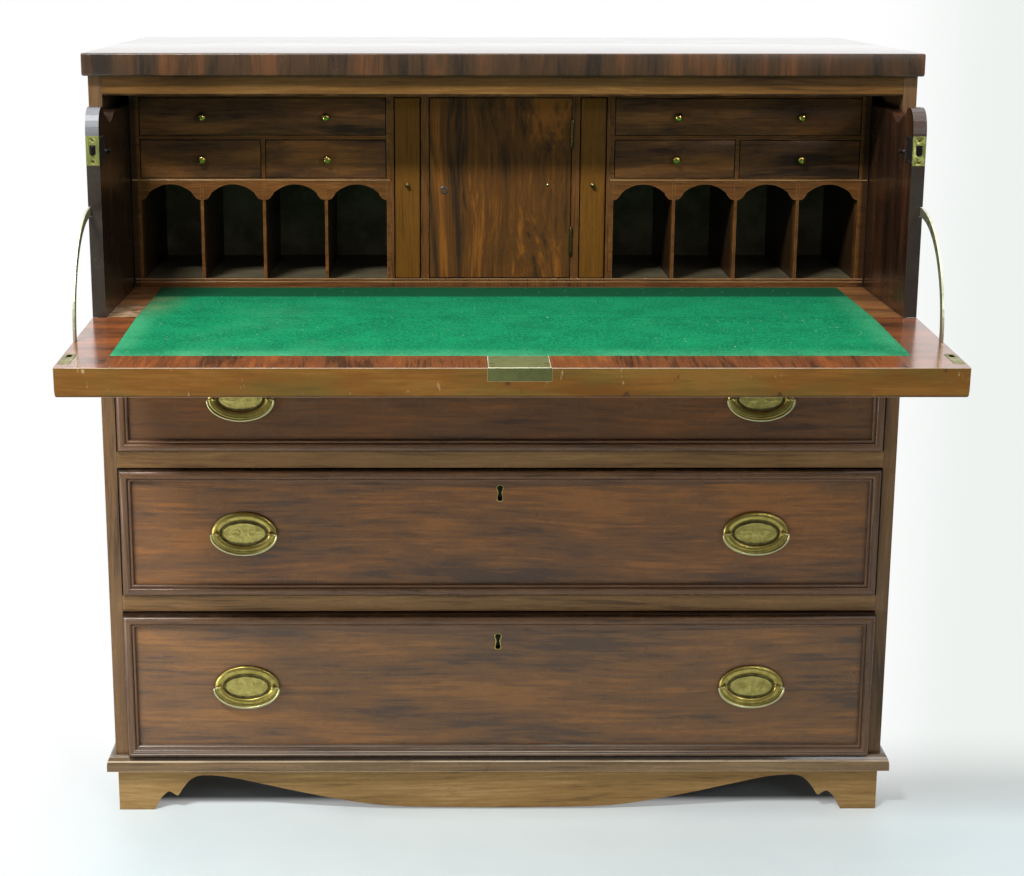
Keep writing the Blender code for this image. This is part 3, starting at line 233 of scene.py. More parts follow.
class Effects:
    """The effects that several finishes share, each a node group made once."""

    @staticmethod
    def start(name: str, results: tuple[str, ...], **inlets: object) -> tuple[NodeSheet, dict[str, Value]]:
        """Starts a group.

        Args:
            name: The group's name.
            results: Its outputs: a colour is called Color, and the others are numbers.
            **inlets: Its inputs' defaults: a number, a colour, or None for a vector.

        Returns:
            The sheet to add nodes on, and the group's inputs.
        """
        tree = bpy.data.node_groups.new(name, "ShaderNodeTree")
        for key, default in inlets.items():
            kind = {float: "Float", tuple: "Color"}.get(type(default), "Vector")
            socket = tree.interface.new_socket(key, in_out="INPUT", socket_type=f"NodeSocket{kind}")
            if default is not None:
                socket.default_value = (*default, 1.0) if kind == "Color" else default
        for key in results:
            kind = "Color" if key == "Color" else "Float"
            tree.interface.new_socket(key, in_out="OUTPUT", socket_type=f"NodeSocket{kind}")
        sheet = NodeSheet(tree)
        return sheet, sheet.outputs(sheet.add("NodeGroupInput"))

    @staticmethod
    def close(sheet: NodeSheet, **results: Value) -> Tree:
        """Gives a group its results."""
        sheet.add("NodeGroupOutput", results)
        return sheet.tree

    @staticmethod
    @cache
    def figured_wood() -> Tree:
        """Mahogany's figure: clouds and streaks along the grain, a faint ripple and open pores."""
        sheet, given = Effects.start(
            "figured_wood", ("Color", "Height", "Tone"), Vector=None, Dark=(0.04, 0.03, 0.02),
            Body=(0.13, 0.07, 0.03), Light=(0.24, 0.1, 0.05), Along=3.0, Across=14.0, Cloud=1.0, Streak=0.6,
            Wave=0.02, Pore=0.5,
        )
        wander = given["Vector"].scaled((2.2, 5.0, 5.0)).noise(1.0, 2.0)
        drift = (wander - 0.5) * given["Wave"]
        place = sheet.shift("ADD", given["Vector"], sheet.vector(0.0, drift, drift))
        broad = place.scaled(sheet.vector(given["Along"], given["Across"], given["Across"]))
        cloud = broad.noise(1.0, 3.0, 0.55) - 0.5
        streak = broad.scaled((2.4, 8.0, 8.0)).noise(1.0, 4.0, 0.6) - 0.5
        fine = place.scaled((26.0, 620.0, 620.0)).noise(1.0, 2.0, 0.6)
        ripple = place.scaled((90.0, 12.0, 12.0)).noise(1.0, 1.0)
        pore = place.scaled((70.0, 1500.0, 1500.0)).noise(1.0, 1.0).span(0.60, 0.72)
        tone = 0.5 + cloud * (given["Cloud"] * 1.5) + streak * (given["Streak"] * 1.5) + (fine - 0.5) * 0.34
        tone = sheet.sum("ADD", tone, (ripple - 0.5) * 0.06, True)
        colour = given["Dark"].under(tone.span(0.16, 0.50), given["Body"])
        colour = colour.under(tone.span(0.50, 0.86), given["Light"])
        colour = colour.under(pore * given["Pore"], given["Dark"])
        return Effects.close(sheet, Color=colour, Height=fine * 0.25 - pore * given["Pore"], Tone=tone)

    @staticmethod
    @cache
    def edge_wear() -> Tree:
        """Where corners are rubbed: a broken mask along every sharp edge."""
        sheet, given = Effects.start("edge_wear", ("Mask",), Vector=None, Width=0.0012, Breakup=0.5)
        rounded = sheet.read("ShaderNodeBevel", 0, {"Radius": given["Width"]}, samples=3)
        plain = sheet.read("ShaderNodeNewGeometry", "Normal")
        edge = sheet.shift("DOT_PRODUCT", rounded, plain, "Value").span(0.985, 0.86)
        keep = given["Vector"].noise(38.0, 4.0, 0.65).span(given["Breakup"] - 0.12, given["Breakup"] + 0.1)
        return Effects.close(sheet, Mask=edge * keep)

    @staticmethod
    @cache
    def crevice() -> Tree:
        """A mask in corners and quirks from ambient occlusion: where polish and dust gather, and where shade
        falls.
        """
        sheet, given = Effects.start("crevice", ("Mask",), Vector=None, Reach=0.006)
        shade = sheet.read("ShaderNodeAmbientOcclusion", "AO", {"Distance": given["Reach"]}, samples=3)
        uneven = given["Vector"].noise(60.0, 2.0).span(0.2, 0.8, 0.7, 1.0)
        return Effects.close(sheet, Mask=shade.span(0.86, 0.35) * uneven)

    @staticmethod
    @cache
    def border() -> Tree:
        """A line along the outline of a box: a mask near any of its faces."""
        sheet, given = Effects.start("border", ("Mask",), Vector=None, Low=None, High=None, Width=0.001)
        nearest, *gaps = (
            *sheet.shift("SUBTRACT", given["Vector"], given["Low"]).parts(),
            *sheet.shift("SUBTRACT", given["High"], given["Vector"]).parts(),
        )
        for gap in gaps:
            nearest = sheet.sum("MINIMUM", nearest, gap)
        return Effects.close(sheet, Mask=nearest.span(given["Width"], given["Width"] * 0.5))

    @staticmethod
    @cache
    def scuffs() -> Tree:
        """Fine scratches and finger marks: a height and a mask for the gloss."""
        sheet, given = Effects.start("scuffs", ("Height", "Smear"), Vector=None)
        lines = (
            given["Vector"].scaled(factors).noise(1.0, 1.0).span(0.70, 0.78)
            for factors in ((900.0, 34.0, 500.0), (40.0, 760.0, 60.0))
        )
        smear = given["Vector"].noise(17.0, 4.0, 0.6).span(0.35, 0.7)
        return Effects.close(sheet, Height=sheet.sum("MAXIMUM", *lines), Smear=smear)


class Finish:
    """What all finishes share: a material started, varied, outlined and embossed."""

    @staticmethod
    def open(name: str) -> tuple[Material, NodeSheet, bpy.types.Node, Value]:
        """Starts a material.

        Args:
            name: The material's name.

        Returns:
            The material, its sheet, its Principled shader and the object's own coordinates.
        """
        material = bpy.data.materials.new(name)
        material.use_nodes = True
        sheet = NodeSheet(material.node_tree)
        shader = material.node_tree.nodes["Principled BSDF"]
        return material, sheet, shader, sheet.read("ShaderNodeTexCoord", "Object")

    @staticmethod
    def variant(base: Material, name: str, overlay: Overlay) -> Material:
        """A finish with one more layer of colour over it.

        Args:
            base: The finish beneath.
            name: The new material's name.
            overlay: Given a place, its normal and the colour beneath, returns the colour.

        Returns:
            The new material.
        """
        material = base.copy()
        material.name = name
        sheet = NodeSheet(material.node_tree)
        entry = material.node_tree.nodes["Principled BSDF"].inputs["Base Color"]
        under = Value(sheet, entry.links[0].from_socket)
        coords = sheet.outputs(sheet.add("ShaderNodeTexCoord"))
        sheet.feed(entry, overlay(coords["Object"], coords["Normal"], under))
        return material

    @staticmethod
    def lined(
        base: Material, name: str, box: tuple, width: float, line: Colour, share: float = 0.9
    ) -> Material:
        """A finish whose piece is outlined by a line of one colour: painted shadows at gaps, dark joints and
        painted highlights along arrises.

        Args:
            base: The finish beneath.
            name: The new material's name.
            box: The outlined box's two corners; None leaves a side without a line.
            width: The line's width.
            line: Its colour.
            share: How strongly it shows.

        Returns:
            The new material.
        """
        low, high = (
            tuple(far if part is None else part for part in corner) for corner, far in zip(box, (-9.0, 9.0))
        )

        def overlay(place: Value, normal: Value, under: Value) -> Value:
            """Blends the line in, a little broken."""
            edge = under.sheet.effect(Effects.border(), Vector=place, Low=low, High=high, Width=width)
            broken = place.noise(45.0, 3.0).span(0.25, 0.6, share * 0.6, share)
            return under.under(edge["Mask"] * broken, line)

        return Finish.variant(base, name, overlay)

    @staticmethod
    def emboss(sheet: NodeSheet, shader: bpy.types.Node, height: Value, depth: float) -> None:
        """Feeds a height in metres' share to the shader's normal through a Bump node."""
        bump = sheet.read("ShaderNodeBump", 0, {"Height": height, "Distance": depth, "Strength": 1.0})
        sheet.feed(shader.inputs["Normal"], bump)


@dataclass(frozen=True)
class Wood(Finish):
    """A polished wood: three tones, how its figure runs, and its polish."""

    name: str
    dark: Colour
    body: Colour
    light: Colour
    along: float = 4.0
    across: float = 30.0
    cloud: float = 0.8
    streak: float = 0.8
    wave: float = 0.03
    pore: float = 0.5
    gloss: float = 0.26
    shine: float = 0.2
    polish: float = 0.0
    polish_blur: float = 0.08
    rub: Colour = (0.34, 0.19, 0.09)
    rub_share: float = 0.45
    broken: float = 0.5
    # The share and colour laid in corners by the occlusion mask: soiling and painted shade.
    grime: float = 0.75
    in_crevices: Colour = (0.012, 0.007, 0.005)
    relief: float = 0.00012

    @cache
    def material(self, grain: Grain = Grain.ACROSS, seed: int = 0) -> Material:
        """The finish with its grain laid one way, made once.

        Args:
            grain: The way the grain runs.
            seed: Which part of the log the piece is cut from.

        Returns:
            The material.
        """
        material, sheet, shader, place = self.open(f"{self.name}_{grain.name.lower()}_{seed}")
        axes = place.parts()
        turned = sheet.vector(*(axes[index] for index in grain.value))
        figure = sheet.effect(
            Effects.figured_wood(),
            Vector=sheet.shift("ADD", turned, (seed * 1.37, seed * 0.71, seed * 2.13)),
            Dark=self.dark, Body=self.body, Light=self.light, Along=self.along, Across=self.across,
            Cloud=self.cloud, Streak=self.streak, Wave=self.wave, Pore=self.pore,
        )
        wear = sheet.effect(Effects.edge_wear(), Vector=place, Breakup=self.broken)["Mask"]
        in_crevices = sheet.effect(Effects.crevice(), Vector=place)["Mask"]
        scuffs = sheet.effect(Effects.scuffs(), Vector=place)
        # Soiling and painted shade in corners and quirks; where that colour is pale it paints light instead.
        colour = figure["Color"].under(wear * self.rub_share, self.rub).under(in_crevices * self.grime, self.in_crevices)
        gloss = self.gloss + scuffs["Smear"] * 0.08 + figure["Tone"] * -0.05
        sheet.fill(shader, {
            "Base Color": self.aged(place, colour), "Roughness": sheet.sum("ADD", gloss, in_crevices * 0.3, True),
            "Specular IOR Level": self.shine, "Coat Weight": self.polish, "Coat Roughness": self.polish_blur,
        })
        self.emboss(sheet, shader, figure["Height"] - scuffs["Height"] * 0.35, self.relief)
        return material

    def aged(self, place: Value, colour: Value) -> Value:
        """Large patches of fading and handling over the figure."""
        warm = place.sheet.blend(1.0, colour, (1.25, 1.12, 0.92), "MULTIPLY")
        return colour.under(place.noise(2.3, 3.0).span(0.35, 0.7, 0.0, 0.35), warm)


@dataclass(frozen=True)
class Brass(Finish):
    """Old lacquered brass: gilt where it is rubbed, olive where the lacquer has gone."""

    name: str
    gilt: Colour = (0.46, 0.36, 0.085)
    olive: Colour = (0.30, 0.235, 0.055)
    gloss: float = 0.20
    blotch: float = 1.0
    stipple: float = 0.0
    rubbed: Colour = (0.72, 0.60, 0.26)
    hollow_dark: Colour = (0.035, 0.025, 0.008)

    @cache
    def material(self) -> Material:
        """The finish's material, made once."""
        material, sheet, shader, place = self.open(self.name)
        patch = place.noise(95.0, 4.0, 0.6).span(0.36, 0.66, 0.5 - self.blotch / 2, 0.5 + self.blotch / 2)
        in_crevices = sheet.effect(Effects.crevice(), Vector=place, Reach=0.0035)["Mask"]
        wear = sheet.effect(Effects.edge_wear(), Vector=place, Width=0.0006, Breakup=0.3)["Mask"]
        colour = sheet.blend(patch, self.gilt, self.olive).under(wear * (0.5 * self.blotch), self.rubbed)
        # Dark in the hollows: old polish and patina, and painted shade.
        sheet.fill(shader, {
            "Base Color": colour.under(in_crevices * 0.85, self.hollow_dark), "Metallic": 1.0,
            "Roughness": sheet.sum("ADD", self.gloss + patch * 0.14, in_crevices * 0.3, True),
        })
        grains = place.noise(1500.0, 1.0).span(0.4, 0.65)
        scratches = sheet.effect(Effects.scuffs(), Vector=place)["Height"]
        self.emboss(sheet, shader, grains * self.stipple - scratches * 0.25, 0.00010)
        return material


@dataclass(frozen=True)
class Baize(Finish):
    """Green felted cloth, rubbed pale near its edges, with lint on it and a painted shadow along its back."""

    name: str
    half_width: float
    front: float
    deep: Colour = (0.004, 0.148, 0.060)
    body: Colour = (0.009, 0.262, 0.104)
    pale: Colour = (0.10, 0.40, 0.20)
    shadow_tone: Colour = (0.006, 0.056, 0.021)
    soil: Colour = (0.16, 0.14, 0.05)
    lint: Colour = (0.55, 0.62, 0.48)
    shadow_edge: float = -0.055
    ring_at: Pair = (0.413, -0.303)
    ring_radius: float = 0.028

    def material(self) -> Material:
        """The cloth's material."""
        material, sheet, shader, place = self.open(self.name)
        across, deep, _ = place.parts()
        fibre = place.noise(620.0, 3.0, 0.75)
        nap = place.scaled((300.0, 240.0, 300.0)).noise(1.0, 2.0, 0.6)
        mottle = place.noise(16.0, 4.0, 0.62)
        tone = fibre * 0.35 + nap * 0.65 + mottle * 0.35
        edge = abs(across).span(self.half_width - 0.040, self.half_width)
        edge = sheet.sum("MAXIMUM", edge, deep.span(self.front + 0.045, self.front))
        rubbed = edge * mottle.span(0.2, 0.75, 0.15, 0.52)
        rubbed = rubbed + place.noise(5.0, 5.0, 0.65).span(0.52, 0.80, 0.0, 0.22)
        rubbed = sheet.sum("ADD", rubbed, self.ring(across, deep), True)
        soiled = across.span(0.06 - self.half_width, -self.half_width) * deep.span(-0.24, -0.10)
        # A painted shadow on the strip at the back, where the gallery and top shade it.
        shaded = deep.span(self.shadow_edge - 0.006, self.shadow_edge + 0.006) * 0.85
        colour = sheet.blend(tone.span(0.57, 0.77), self.deep, self.body).under(rubbed, self.pale)
        colour = colour.under(soiled * mottle.span(0.25, 0.65, 0.2, 0.75), self.soil)
        colour = colour.under(shaded, self.shadow_tone).under(self.specks(place), self.lint)
        sheet.fill(shader, {
            "Base Color": colour, "Roughness": 0.93, "Specular IOR Level": 0.04, "Sheen Weight": 0.05,
            "Sheen Roughness": 0.45, "Sheen Tint": (0.25, 0.85, 0.6),
        })
        self.emboss(sheet, shader, fibre * 0.6 + nap * 0.8, 0.0006)
        return material

    def ring(self, across: Value, deep: Value) -> Value:
        """The faint ring that a glass has left."""
        sheet = across.sheet
        dx, dy = across - self.ring_at[0], deep - self.ring_at[1]
        off = abs(sheet.sum("SQRT", dx * dx + dy * dy) - self.ring_radius)
        broken = sheet.vector(across, deep, 0.0).noise(55.0, 2.0).span(0.42, 0.6, 0.0, 0.5)
        return off.span(0.0016, 0.0004) * broken

    def specks(self, place: Value) -> Value:
        """Lint: few short pale flecks, scattered unevenly."""
        feeds = {"Vector": place, "Scale": 55.0, "Randomness": 1.0}
        cells = place.sheet.outputs(place.sheet.add("ShaderNodeTexVoronoi", feeds, voronoi_dimensions="2D"))
        chosen = cells["Color"].parts()[0].span(0.86, 0.90)
        near = (cells["Distance"] + place.noise(700.0, 2.0) * 0.10).span(0.115, 0.075)
        return near * chosen * 0.75


@dataclass(frozen=True)
class Iron(Finish):
    """Blackened iron, pitted, for lock cases and the dark of a keyhole."""

    name: str
    base: Colour = (0.020, 0.018, 0.017)
    bloom: Colour = (0.070, 0.040, 0.022)
    metal: float = 0.6
    shine: float = 0.5

    @cache
    def material(self) -> Material:
        """The iron's material, made once."""
        material, sheet, shader, place = self.open(self.name)
        rust = place.noise(180.0, 4.0, 0.65).span(0.5, 0.75)
        sheet.fill(shader, {
            "Base Color": sheet.blend(rust, self.base, self.bloom), "Roughness": 0.45 + rust * 0.35,
            "Metallic": self.metal, "Specular IOR Level": self.shine,
        })
        self.emboss(sheet, shader, place.noise(900.0, 3.0), 0.00015)
        return material


@dataclass(frozen=True)
class Palette:
    """All the chest's finishes."""

    panel: Wood = Wood(
        "panel_mahogany", (0.076, 0.046, 0.031), (0.140, 0.068, 0.031), (0.220, 0.094, 0.032), along=4.5,
        across=24.0, cloud=1.1, streak=0.9, shine=0.22,
    )
    # Darker and lighter copies of the panel wood: painted shade on the top drawer under the fall, painted
    # light on the bottom drawer.
    shaded_high_panel: Wood = Wood(
        "high_panel_mahogany", (0.058, 0.034, 0.023), (0.112, 0.054, 0.025), (0.180, 0.074, 0.026), along=4.5,
        across=24.0, streak=0.7, shine=0.18,
    )
    lit_low_panel: Wood = Wood(
        "low_panel_mahogany", (0.090, 0.058, 0.040), (0.162, 0.084, 0.040), (0.240, 0.112, 0.042), along=4.5,
        across=24.0, cloud=1.1, streak=0.9, shine=0.22,
    )
    # The moulding's colour in its corners is pale: painted light that lifts the shade in its cove and quirk.
    moulding: Wood = Wood(
        "moulding_mahogany", (0.050, 0.029, 0.018), (0.112, 0.058, 0.030), (0.170, 0.086, 0.040), along=5.0,
        across=40.0, cloud=0.5, polish=0.2, polish_blur=0.18, grime=0.5, in_crevices=(0.235, 0.140, 0.095),
        relief=0.00004,
    )
    golden: Wood = Wood(
        "golden_mahogany", (0.058, 0.027, 0.007), (0.108, 0.050, 0.011), (0.180, 0.086, 0.020), along=6.0,
        cloud=1.2, streak=0.7, gloss=0.36, shine=0.08, rub=(0.70, 0.52, 0.36), rub_share=1.0, broken=0.2,
    )
    rail_gold: Wood = Wood(
        "rail_gold_mahogany", (0.070, 0.034, 0.011), (0.140, 0.068, 0.019), (0.195, 0.104, 0.032),
        across=34.0, cloud=0.7, gloss=0.36, shine=0.10,
    )
    rail: Wood = Wood(
        "rail_mahogany", (0.094, 0.050, 0.022), (0.185, 0.100, 0.037), (0.245, 0.138, 0.056), across=34.0,
        gloss=0.30,
    )
    base: Wood = Wood(
        "base_mahogany", (0.076, 0.046, 0.020), (0.150, 0.090, 0.038), (0.215, 0.135, 0.060), across=34.0,
        gloss=0.28, shine=0.3, polish=0.3, rub=(0.62, 0.50, 0.36), rub_share=1.0, broken=0.25,
    )
    plinth: Wood = Wood(
        "plinth_mahogany", (0.132, 0.076, 0.028), (0.238, 0.140, 0.049), (0.318, 0.200, 0.080), across=34.0,
        cloud=0.7, gloss=0.36, shine=0.15,
    )
    gallery: Wood = Wood(
        "gallery_mahogany", (0.052, 0.020, 0.007), (0.132, 0.052, 0.014), (0.215, 0.088, 0.024), along=6.0,
        across=60.0, cloud=0.6, gloss=0.32, shine=0.15, rub=(0.42, 0.24, 0.10), rub_share=0.8,
    )
    slide: Wood = Wood(
        "slide_mahogany", (0.080, 0.034, 0.006), (0.150, 0.062, 0.010), (0.200, 0.086, 0.014), along=5.0,
        across=70.0, cloud=0.5, streak=0.7, gloss=0.30, shine=0.10,
    )
    small_drawer: Wood = Wood(
        "small_drawer_mahogany", (0.036, 0.022, 0.015), (0.108, 0.050, 0.022), (0.210, 0.088, 0.029),
        along=6.0, across=40.0, cloud=1.3, streak=0.45, wave=0.06, gloss=0.28, shine=0.10,
    )
    side: Wood = Wood(
        "side_mahogany", (0.062, 0.036, 0.020), (0.145, 0.080, 0.036), (0.215, 0.122, 0.054), cloud=0.7,
        streak=0.6, gloss=0.30,
    )
    cheek: Wood = Wood(
        "cheek_mahogany", (0.010, 0.005, 0.004), (0.030, 0.013, 0.008), (0.090, 0.032, 0.014), cloud=0.9,
        streak=0.6, gloss=0.24, shine=0.25, polish=0.45, polish_blur=0.30,
    )
    banding: Wood = Wood(
        "crossbanding", (0.082, 0.036, 0.020), (0.252, 0.086, 0.034), (0.430, 0.130, 0.040), along=5.0,
        cloud=1.2, streak=0.7, wave=0.04, pore=0.35, gloss=0.18, shine=0.45, polish=0.75, polish_blur=0.18,
    )
    bed: Wood = Wood(
        "bed_mahogany", (0.110, 0.052, 0.020), (0.270, 0.115, 0.040), (0.440, 0.190, 0.062), along=5.0,
        across=26.0, cloud=1.2, streak=0.7, gloss=0.34, shine=0.4, polish=0.4, polish_blur=0.25,
    )
    top_edge: Wood = Wood(
        "top_edge_banding", (0.026, 0.019, 0.014), (0.058, 0.033, 0.018), (0.115, 0.050, 0.022), across=26.0,
        cloud=1.1, streak=0.6, wave=0.05, pore=0.4, shine=0.3,
    )
    top_face: Wood = Wood(
        "top_mahogany", (0.050, 0.030, 0.020), (0.120, 0.060, 0.030), (0.200, 0.090, 0.036), along=3.0,
        across=18.0, cloud=0.9, streak=0.6, gloss=0.10, shine=0.5, polish=1.0,
    )
    string: Wood = Wood(
        "bead_mahogany", (0.16, 0.080, 0.030), (0.32, 0.175, 0.070), (0.45, 0.27, 0.12), along=8.0,
        across=60.0, streak=0.6, gloss=0.22, shine=0.5, grime=0.4,
    )
    flame: Wood = Wood(
        "flame_mahogany", (0.034, 0.020, 0.012), (0.108, 0.044, 0.012), (0.250, 0.090, 0.016), along=3.0,
        across=36.0, cloud=1.15, streak=0.55, wave=0.16, pore=0.3, gloss=0.24, shine=0.14,
    )
    oak: Wood = Wood(
        "drawer_oak", (0.16, 0.092, 0.045), (0.33, 0.20, 0.10), (0.44, 0.29, 0.16), across=60.0, cloud=0.6,
        streak=0.9, pore=0.8, gloss=0.62, shine=0.28, rub=(0.46, 0.31, 0.18), relief=0.0002,
    )
    brass: Brass = Brass("aged_brass")
    oval_brass: Brass = Brass(
        "oval_plate_brass", gilt=(0.44, 0.35, 0.095), olive=(0.29, 0.22, 0.058), gloss=0.27, blotch=0.8,
    )
    bail_brass: Brass = Brass(
        "bail_brass", gilt=(0.62, 0.60, 0.32), olive=(0.48, 0.45, 0.22), gloss=0.26, blotch=0.4,
    )
    knob_brass: Brass = Brass(
        "knob_brass", gilt=(0.95, 0.74, 0.22), olive=(0.72, 0.54, 0.12), gloss=0.13, blotch=0.2,
    )
    stamped_brass: Brass = Brass(
        "stamped_brass", gilt=(0.46, 0.39, 0.12), olive=(0.32, 0.26, 0.075), gloss=0.36, stipple=0.8,
    )
    stay_brass: Brass = Brass("stay_brass", gilt=(0.64, 0.62, 0.46), olive=(0.50, 0.48, 0.34), gloss=0.40)
    catch_brass: Brass = Brass(
        "catch_brass", gilt=(0.62, 0.66, 0.20), olive=(0.28, 0.30, 0.08), gloss=0.34, blotch=1.0,
    )
    plate_brass: Brass = Brass("let_in_brass", gilt=(0.36, 0.34, 0.14), olive=(0.20, 0.19, 0.075), gloss=0.30)
    # A lighter copy of the lock's brass for its top face and a darker one for its edge: painted light and
    # shade.
    lit_lock_brass: Brass = Brass(
        "lit_lock_brass", gilt=(0.29, 0.30, 0.12), olive=(0.21, 0.22, 0.09), gloss=0.46, blotch=0.8,
    )
    shaded_lock_edge: Brass = Brass(
        "lock_edge_brass", gilt=(0.21, 0.22, 0.08), olive=(0.13, 0.145, 0.055), gloss=0.5, blotch=0.35,
    )
    dark_brass: Brass = Brass(
        "darkened_brass", gilt=(0.17, 0.135, 0.050), olive=(0.075, 0.058, 0.022), gloss=0.30,
    )
    iron: Iron = Iron("black_iron")
    # Near-black and barely glossy, so that the catch's bolt reads as the dark of its hole: painted shade.
    bolt_in_shade: Iron = Iron(
        "bolt_in_shade", base=(0.004, 0.004, 0.004), bloom=(0.012, 0.009, 0.007), metal=0.0, shine=0.08,
    )
    steel: Iron = Iron("key_steel", base=(0.10, 0.11, 0.13), bloom=(0.05, 0.045, 0.04))


# ---------------------------------------------------------------- modelling by hand


class Bench:
    """Blender's modelling operators, used on one piece at a time."""

    @staticmethod
    def clear() -> None:
        """Leaves edit mode and selects nothing."""
        if bpy.context.mode != "OBJECT":
            bpy.ops.object.mode_set(mode="OBJECT")
        bpy.ops.object.select_all(action="DESELECT")

    @staticmethod
    def take(piece: Piece) -> None:
        """Selects one piece alone and makes it active."""
        Bench.clear()
        piece.select_set(True)
        bpy.context.view_layer.objects.active = piece

    @staticmethod
    def settle(name: str) -> Piece:
        """Names the primitive just added and puts its place in its mesh."""
        piece = bpy.context.object
        piece.name = piece.data.name = name
        bpy.ops.object.transform_apply(location=True, rotation=True, scale=True)
        return piece

    @staticmethod
    def block(name: str, low: Place, high: Place) -> Piece:
        """A cube at its size and place, to be shaped further."""
        Bench.clear()
        low, high = Vector(low), Vector(high)
        bpy.ops.mesh.primitive_cube_add(size=1.0, location=(low + high) / 2, scale=high - low)
        return Bench.settle(name)

    @staticmethod
    @contextmanager
    def editing(piece: Piece, kind: str = "FACE") -> Iterator[None]:
        """Holds a piece in edit mode, selecting faces, edges or points.

        Args:
            piece: The piece to shape.
            kind: FACE, EDGE or VERT.
        """
        Bench.take(piece)
        bpy.ops.object.mode_set(mode="EDIT")
        bpy.ops.mesh.select_mode(type=kind)
        try:
            yield
        finally:
            bpy.ops.object.mode_set(mode="OBJECT")

    @staticmethod
    def pick_all() -> None:
        """Selects the whole mesh, in edit mode."""
        bpy.ops.mesh.select_all(action="SELECT")

    @staticmethod
    def pick_faces(piece: Piece, wanted: Wanted) -> None:
        """Selects the faces whose middle and normal are wanted, in edit mode."""
        bpy.ops.mesh.select_all(action="DESELECT")
        for face in bmesh.from_edit_mesh(piece.data).faces:
            if wanted(face.calc_center_median(), face.normal):
                face.select_set(True)
        bmesh.update_edit_mesh(piece.data)

    @staticmethod
    def bevel_edges(piece: Piece, width: float, segments: int, wanted: Wanted) -> None:
        """Bevels the edges whose two ends are wanted, in edit mode."""
        bpy.ops.mesh.select_all(action="DESELECT")
        for edge in bmesh.from_edit_mesh(piece.data).edges:
            if wanted(edge.verts[0].co, edge.verts[1].co):
                edge.select_set(True)
        bmesh.update_edit_mesh(piece.data)
        bpy.ops.mesh.bevel(offset=width, segments=segments, profile=0.5)

    @staticmethod
    def draw_out(across: float, deep: float, up: float) -> None:
        """Extrudes what is selected by a distance."""
        bpy.ops.mesh.extrude_region_move(TRANSFORM_OT_translate={"value": (across, deep, up)})

    @staticmethod
    def draw_in(across: float, deep: float, height: float) -> None:
        """Scales what is selected about the middle at a height."""
        bpy.ops.transform.resize(value=(across, deep, 1.0), center_override=(0.0, 0.0, height))

    @staticmethod
    def face_out() -> None:
        """Turns every face outwards."""
        Bench.pick_all()
        bpy.ops.mesh.normals_make_consistent(inside=False)

    @staticmethod
    def ring_in(section: list[Pair]) -> None:
        """Insets the selected face ring by ring, by distances in and out from it."""
        inset, rise = 0.0, 0.0
        for next_inset, next_rise in section:
            bpy.ops.mesh.inset(thickness=next_inset - inset, depth=next_rise - rise, use_even_offset=True)
            inset, rise = next_inset, next_rise

    @staticmethod
    def modify(piece: Piece, kind: str, **settings: object) -> None:
        """Adds a modifier and applies it."""
        Bench.take(piece)
        modifier = piece.modifiers.new(kind.title(), kind)
        for name, value in settings.items():
            setattr(modifier, name, value)
        bpy.ops.object.modifier_apply(modifier=modifier.name)

    @staticmethod
    def ease(piece: Piece, width: float, segments: int = 3, angle: float = 50.0) -> None:
        """Rounds all sharp edges over."""
        Bench.modify(
            piece, "BEVEL", width=width, segments=segments, limit_method="ANGLE",
            angle_limit=math.radians(angle), harden_normals=False,
        )

    @staticmethod
    def cut(piece: Piece, tool: Piece, operation: str = "DIFFERENCE") -> None:
        """Cuts a piece with a tool, which is used up."""
        Bench.modify(piece, "BOOLEAN", operation=operation, solver="EXACT", object=tool)
        bpy.data.objects.remove(tool, do_unlink=True)

    @staticmethod
    def join(name: str, pieces: list[Piece]) -> Piece:
        """Makes one piece of several."""
        Bench.clear()
        for piece in pieces:
            piece.select_set(True)
        bpy.context.view_layer.objects.active = pieces[0]
        bpy.ops.object.join()
        pieces[0].name = pieces[0].data.name = name
        return pieces[0]

    @staticmethod
    def stack(name: str, rings: list[Pair], sides: int = 24) -> Piece:
        """A turned piece, drawn up from a disc: each ring is extruded and scaled to its radius.

        Args:
            name: The piece's name.
            rings: Radius and height of each ring from the foot, along +Z.
            sides: How many sides the turning has.

        Returns:
            The closed piece at the origin.
        """
        Bench.clear()
        radius, height = rings[0]
        bpy.ops.mesh.primitive_circle_add(
            vertices=sides, radius=radius, fill_type="NGON", location=(0.0, 0.0, height)
        )
        piece = Bench.settle(name)
        with Bench.editing(piece):
            Bench.pick_all()
            for next_radius, next_height in rings[1:]:
                Bench.draw_out(0.0, 0.0, next_height - height)
                share = next_radius / radius
                Bench.draw_in(share, share, next_height)
                radius, height = next_radius, next_height
            Bench.face_out()
        return piece

    @staticmethod
    def rod(name: str, path: list[tuple[Place, float]], radius: float, sides: int = 3) -> Piece:
        """A rod along a path whose thickness may change, drawn as a curve and made a mesh.

        Args:
            name: The piece's name.
            path: Points, each with its share of the radius.
            radius: The rod's full radius.
            sides: The curve's bevel resolution.

        Returns:
            The closed rod.
        """
        Bench.clear()
        bpy.ops.curve.primitive_bezier_curve_add(location=(0.0, 0.0, 0.0))
        piece = bpy.context.object
        curve = piece.data
        curve.splines.clear()
        curve.dimensions, curve.use_fill_caps = "3D", True
        curve.bevel_depth, curve.bevel_resolution = radius, sides
        spline = curve.splines.new("POLY")
        spline.points.add(len(path) - 1)
        for point, (place, share) in zip(spline.points, path):
            point.co, point.radius = (*place, 1.0), share
        bpy.ops.object.convert(target="MESH")
        piece = Bench.settle(name)
        with Bench.editing(piece, "VERT"):
            Bench.pick_all()
            bpy.ops.mesh.remove_doubles(threshold=0.00002)
            Bench.face_out()
        return piece

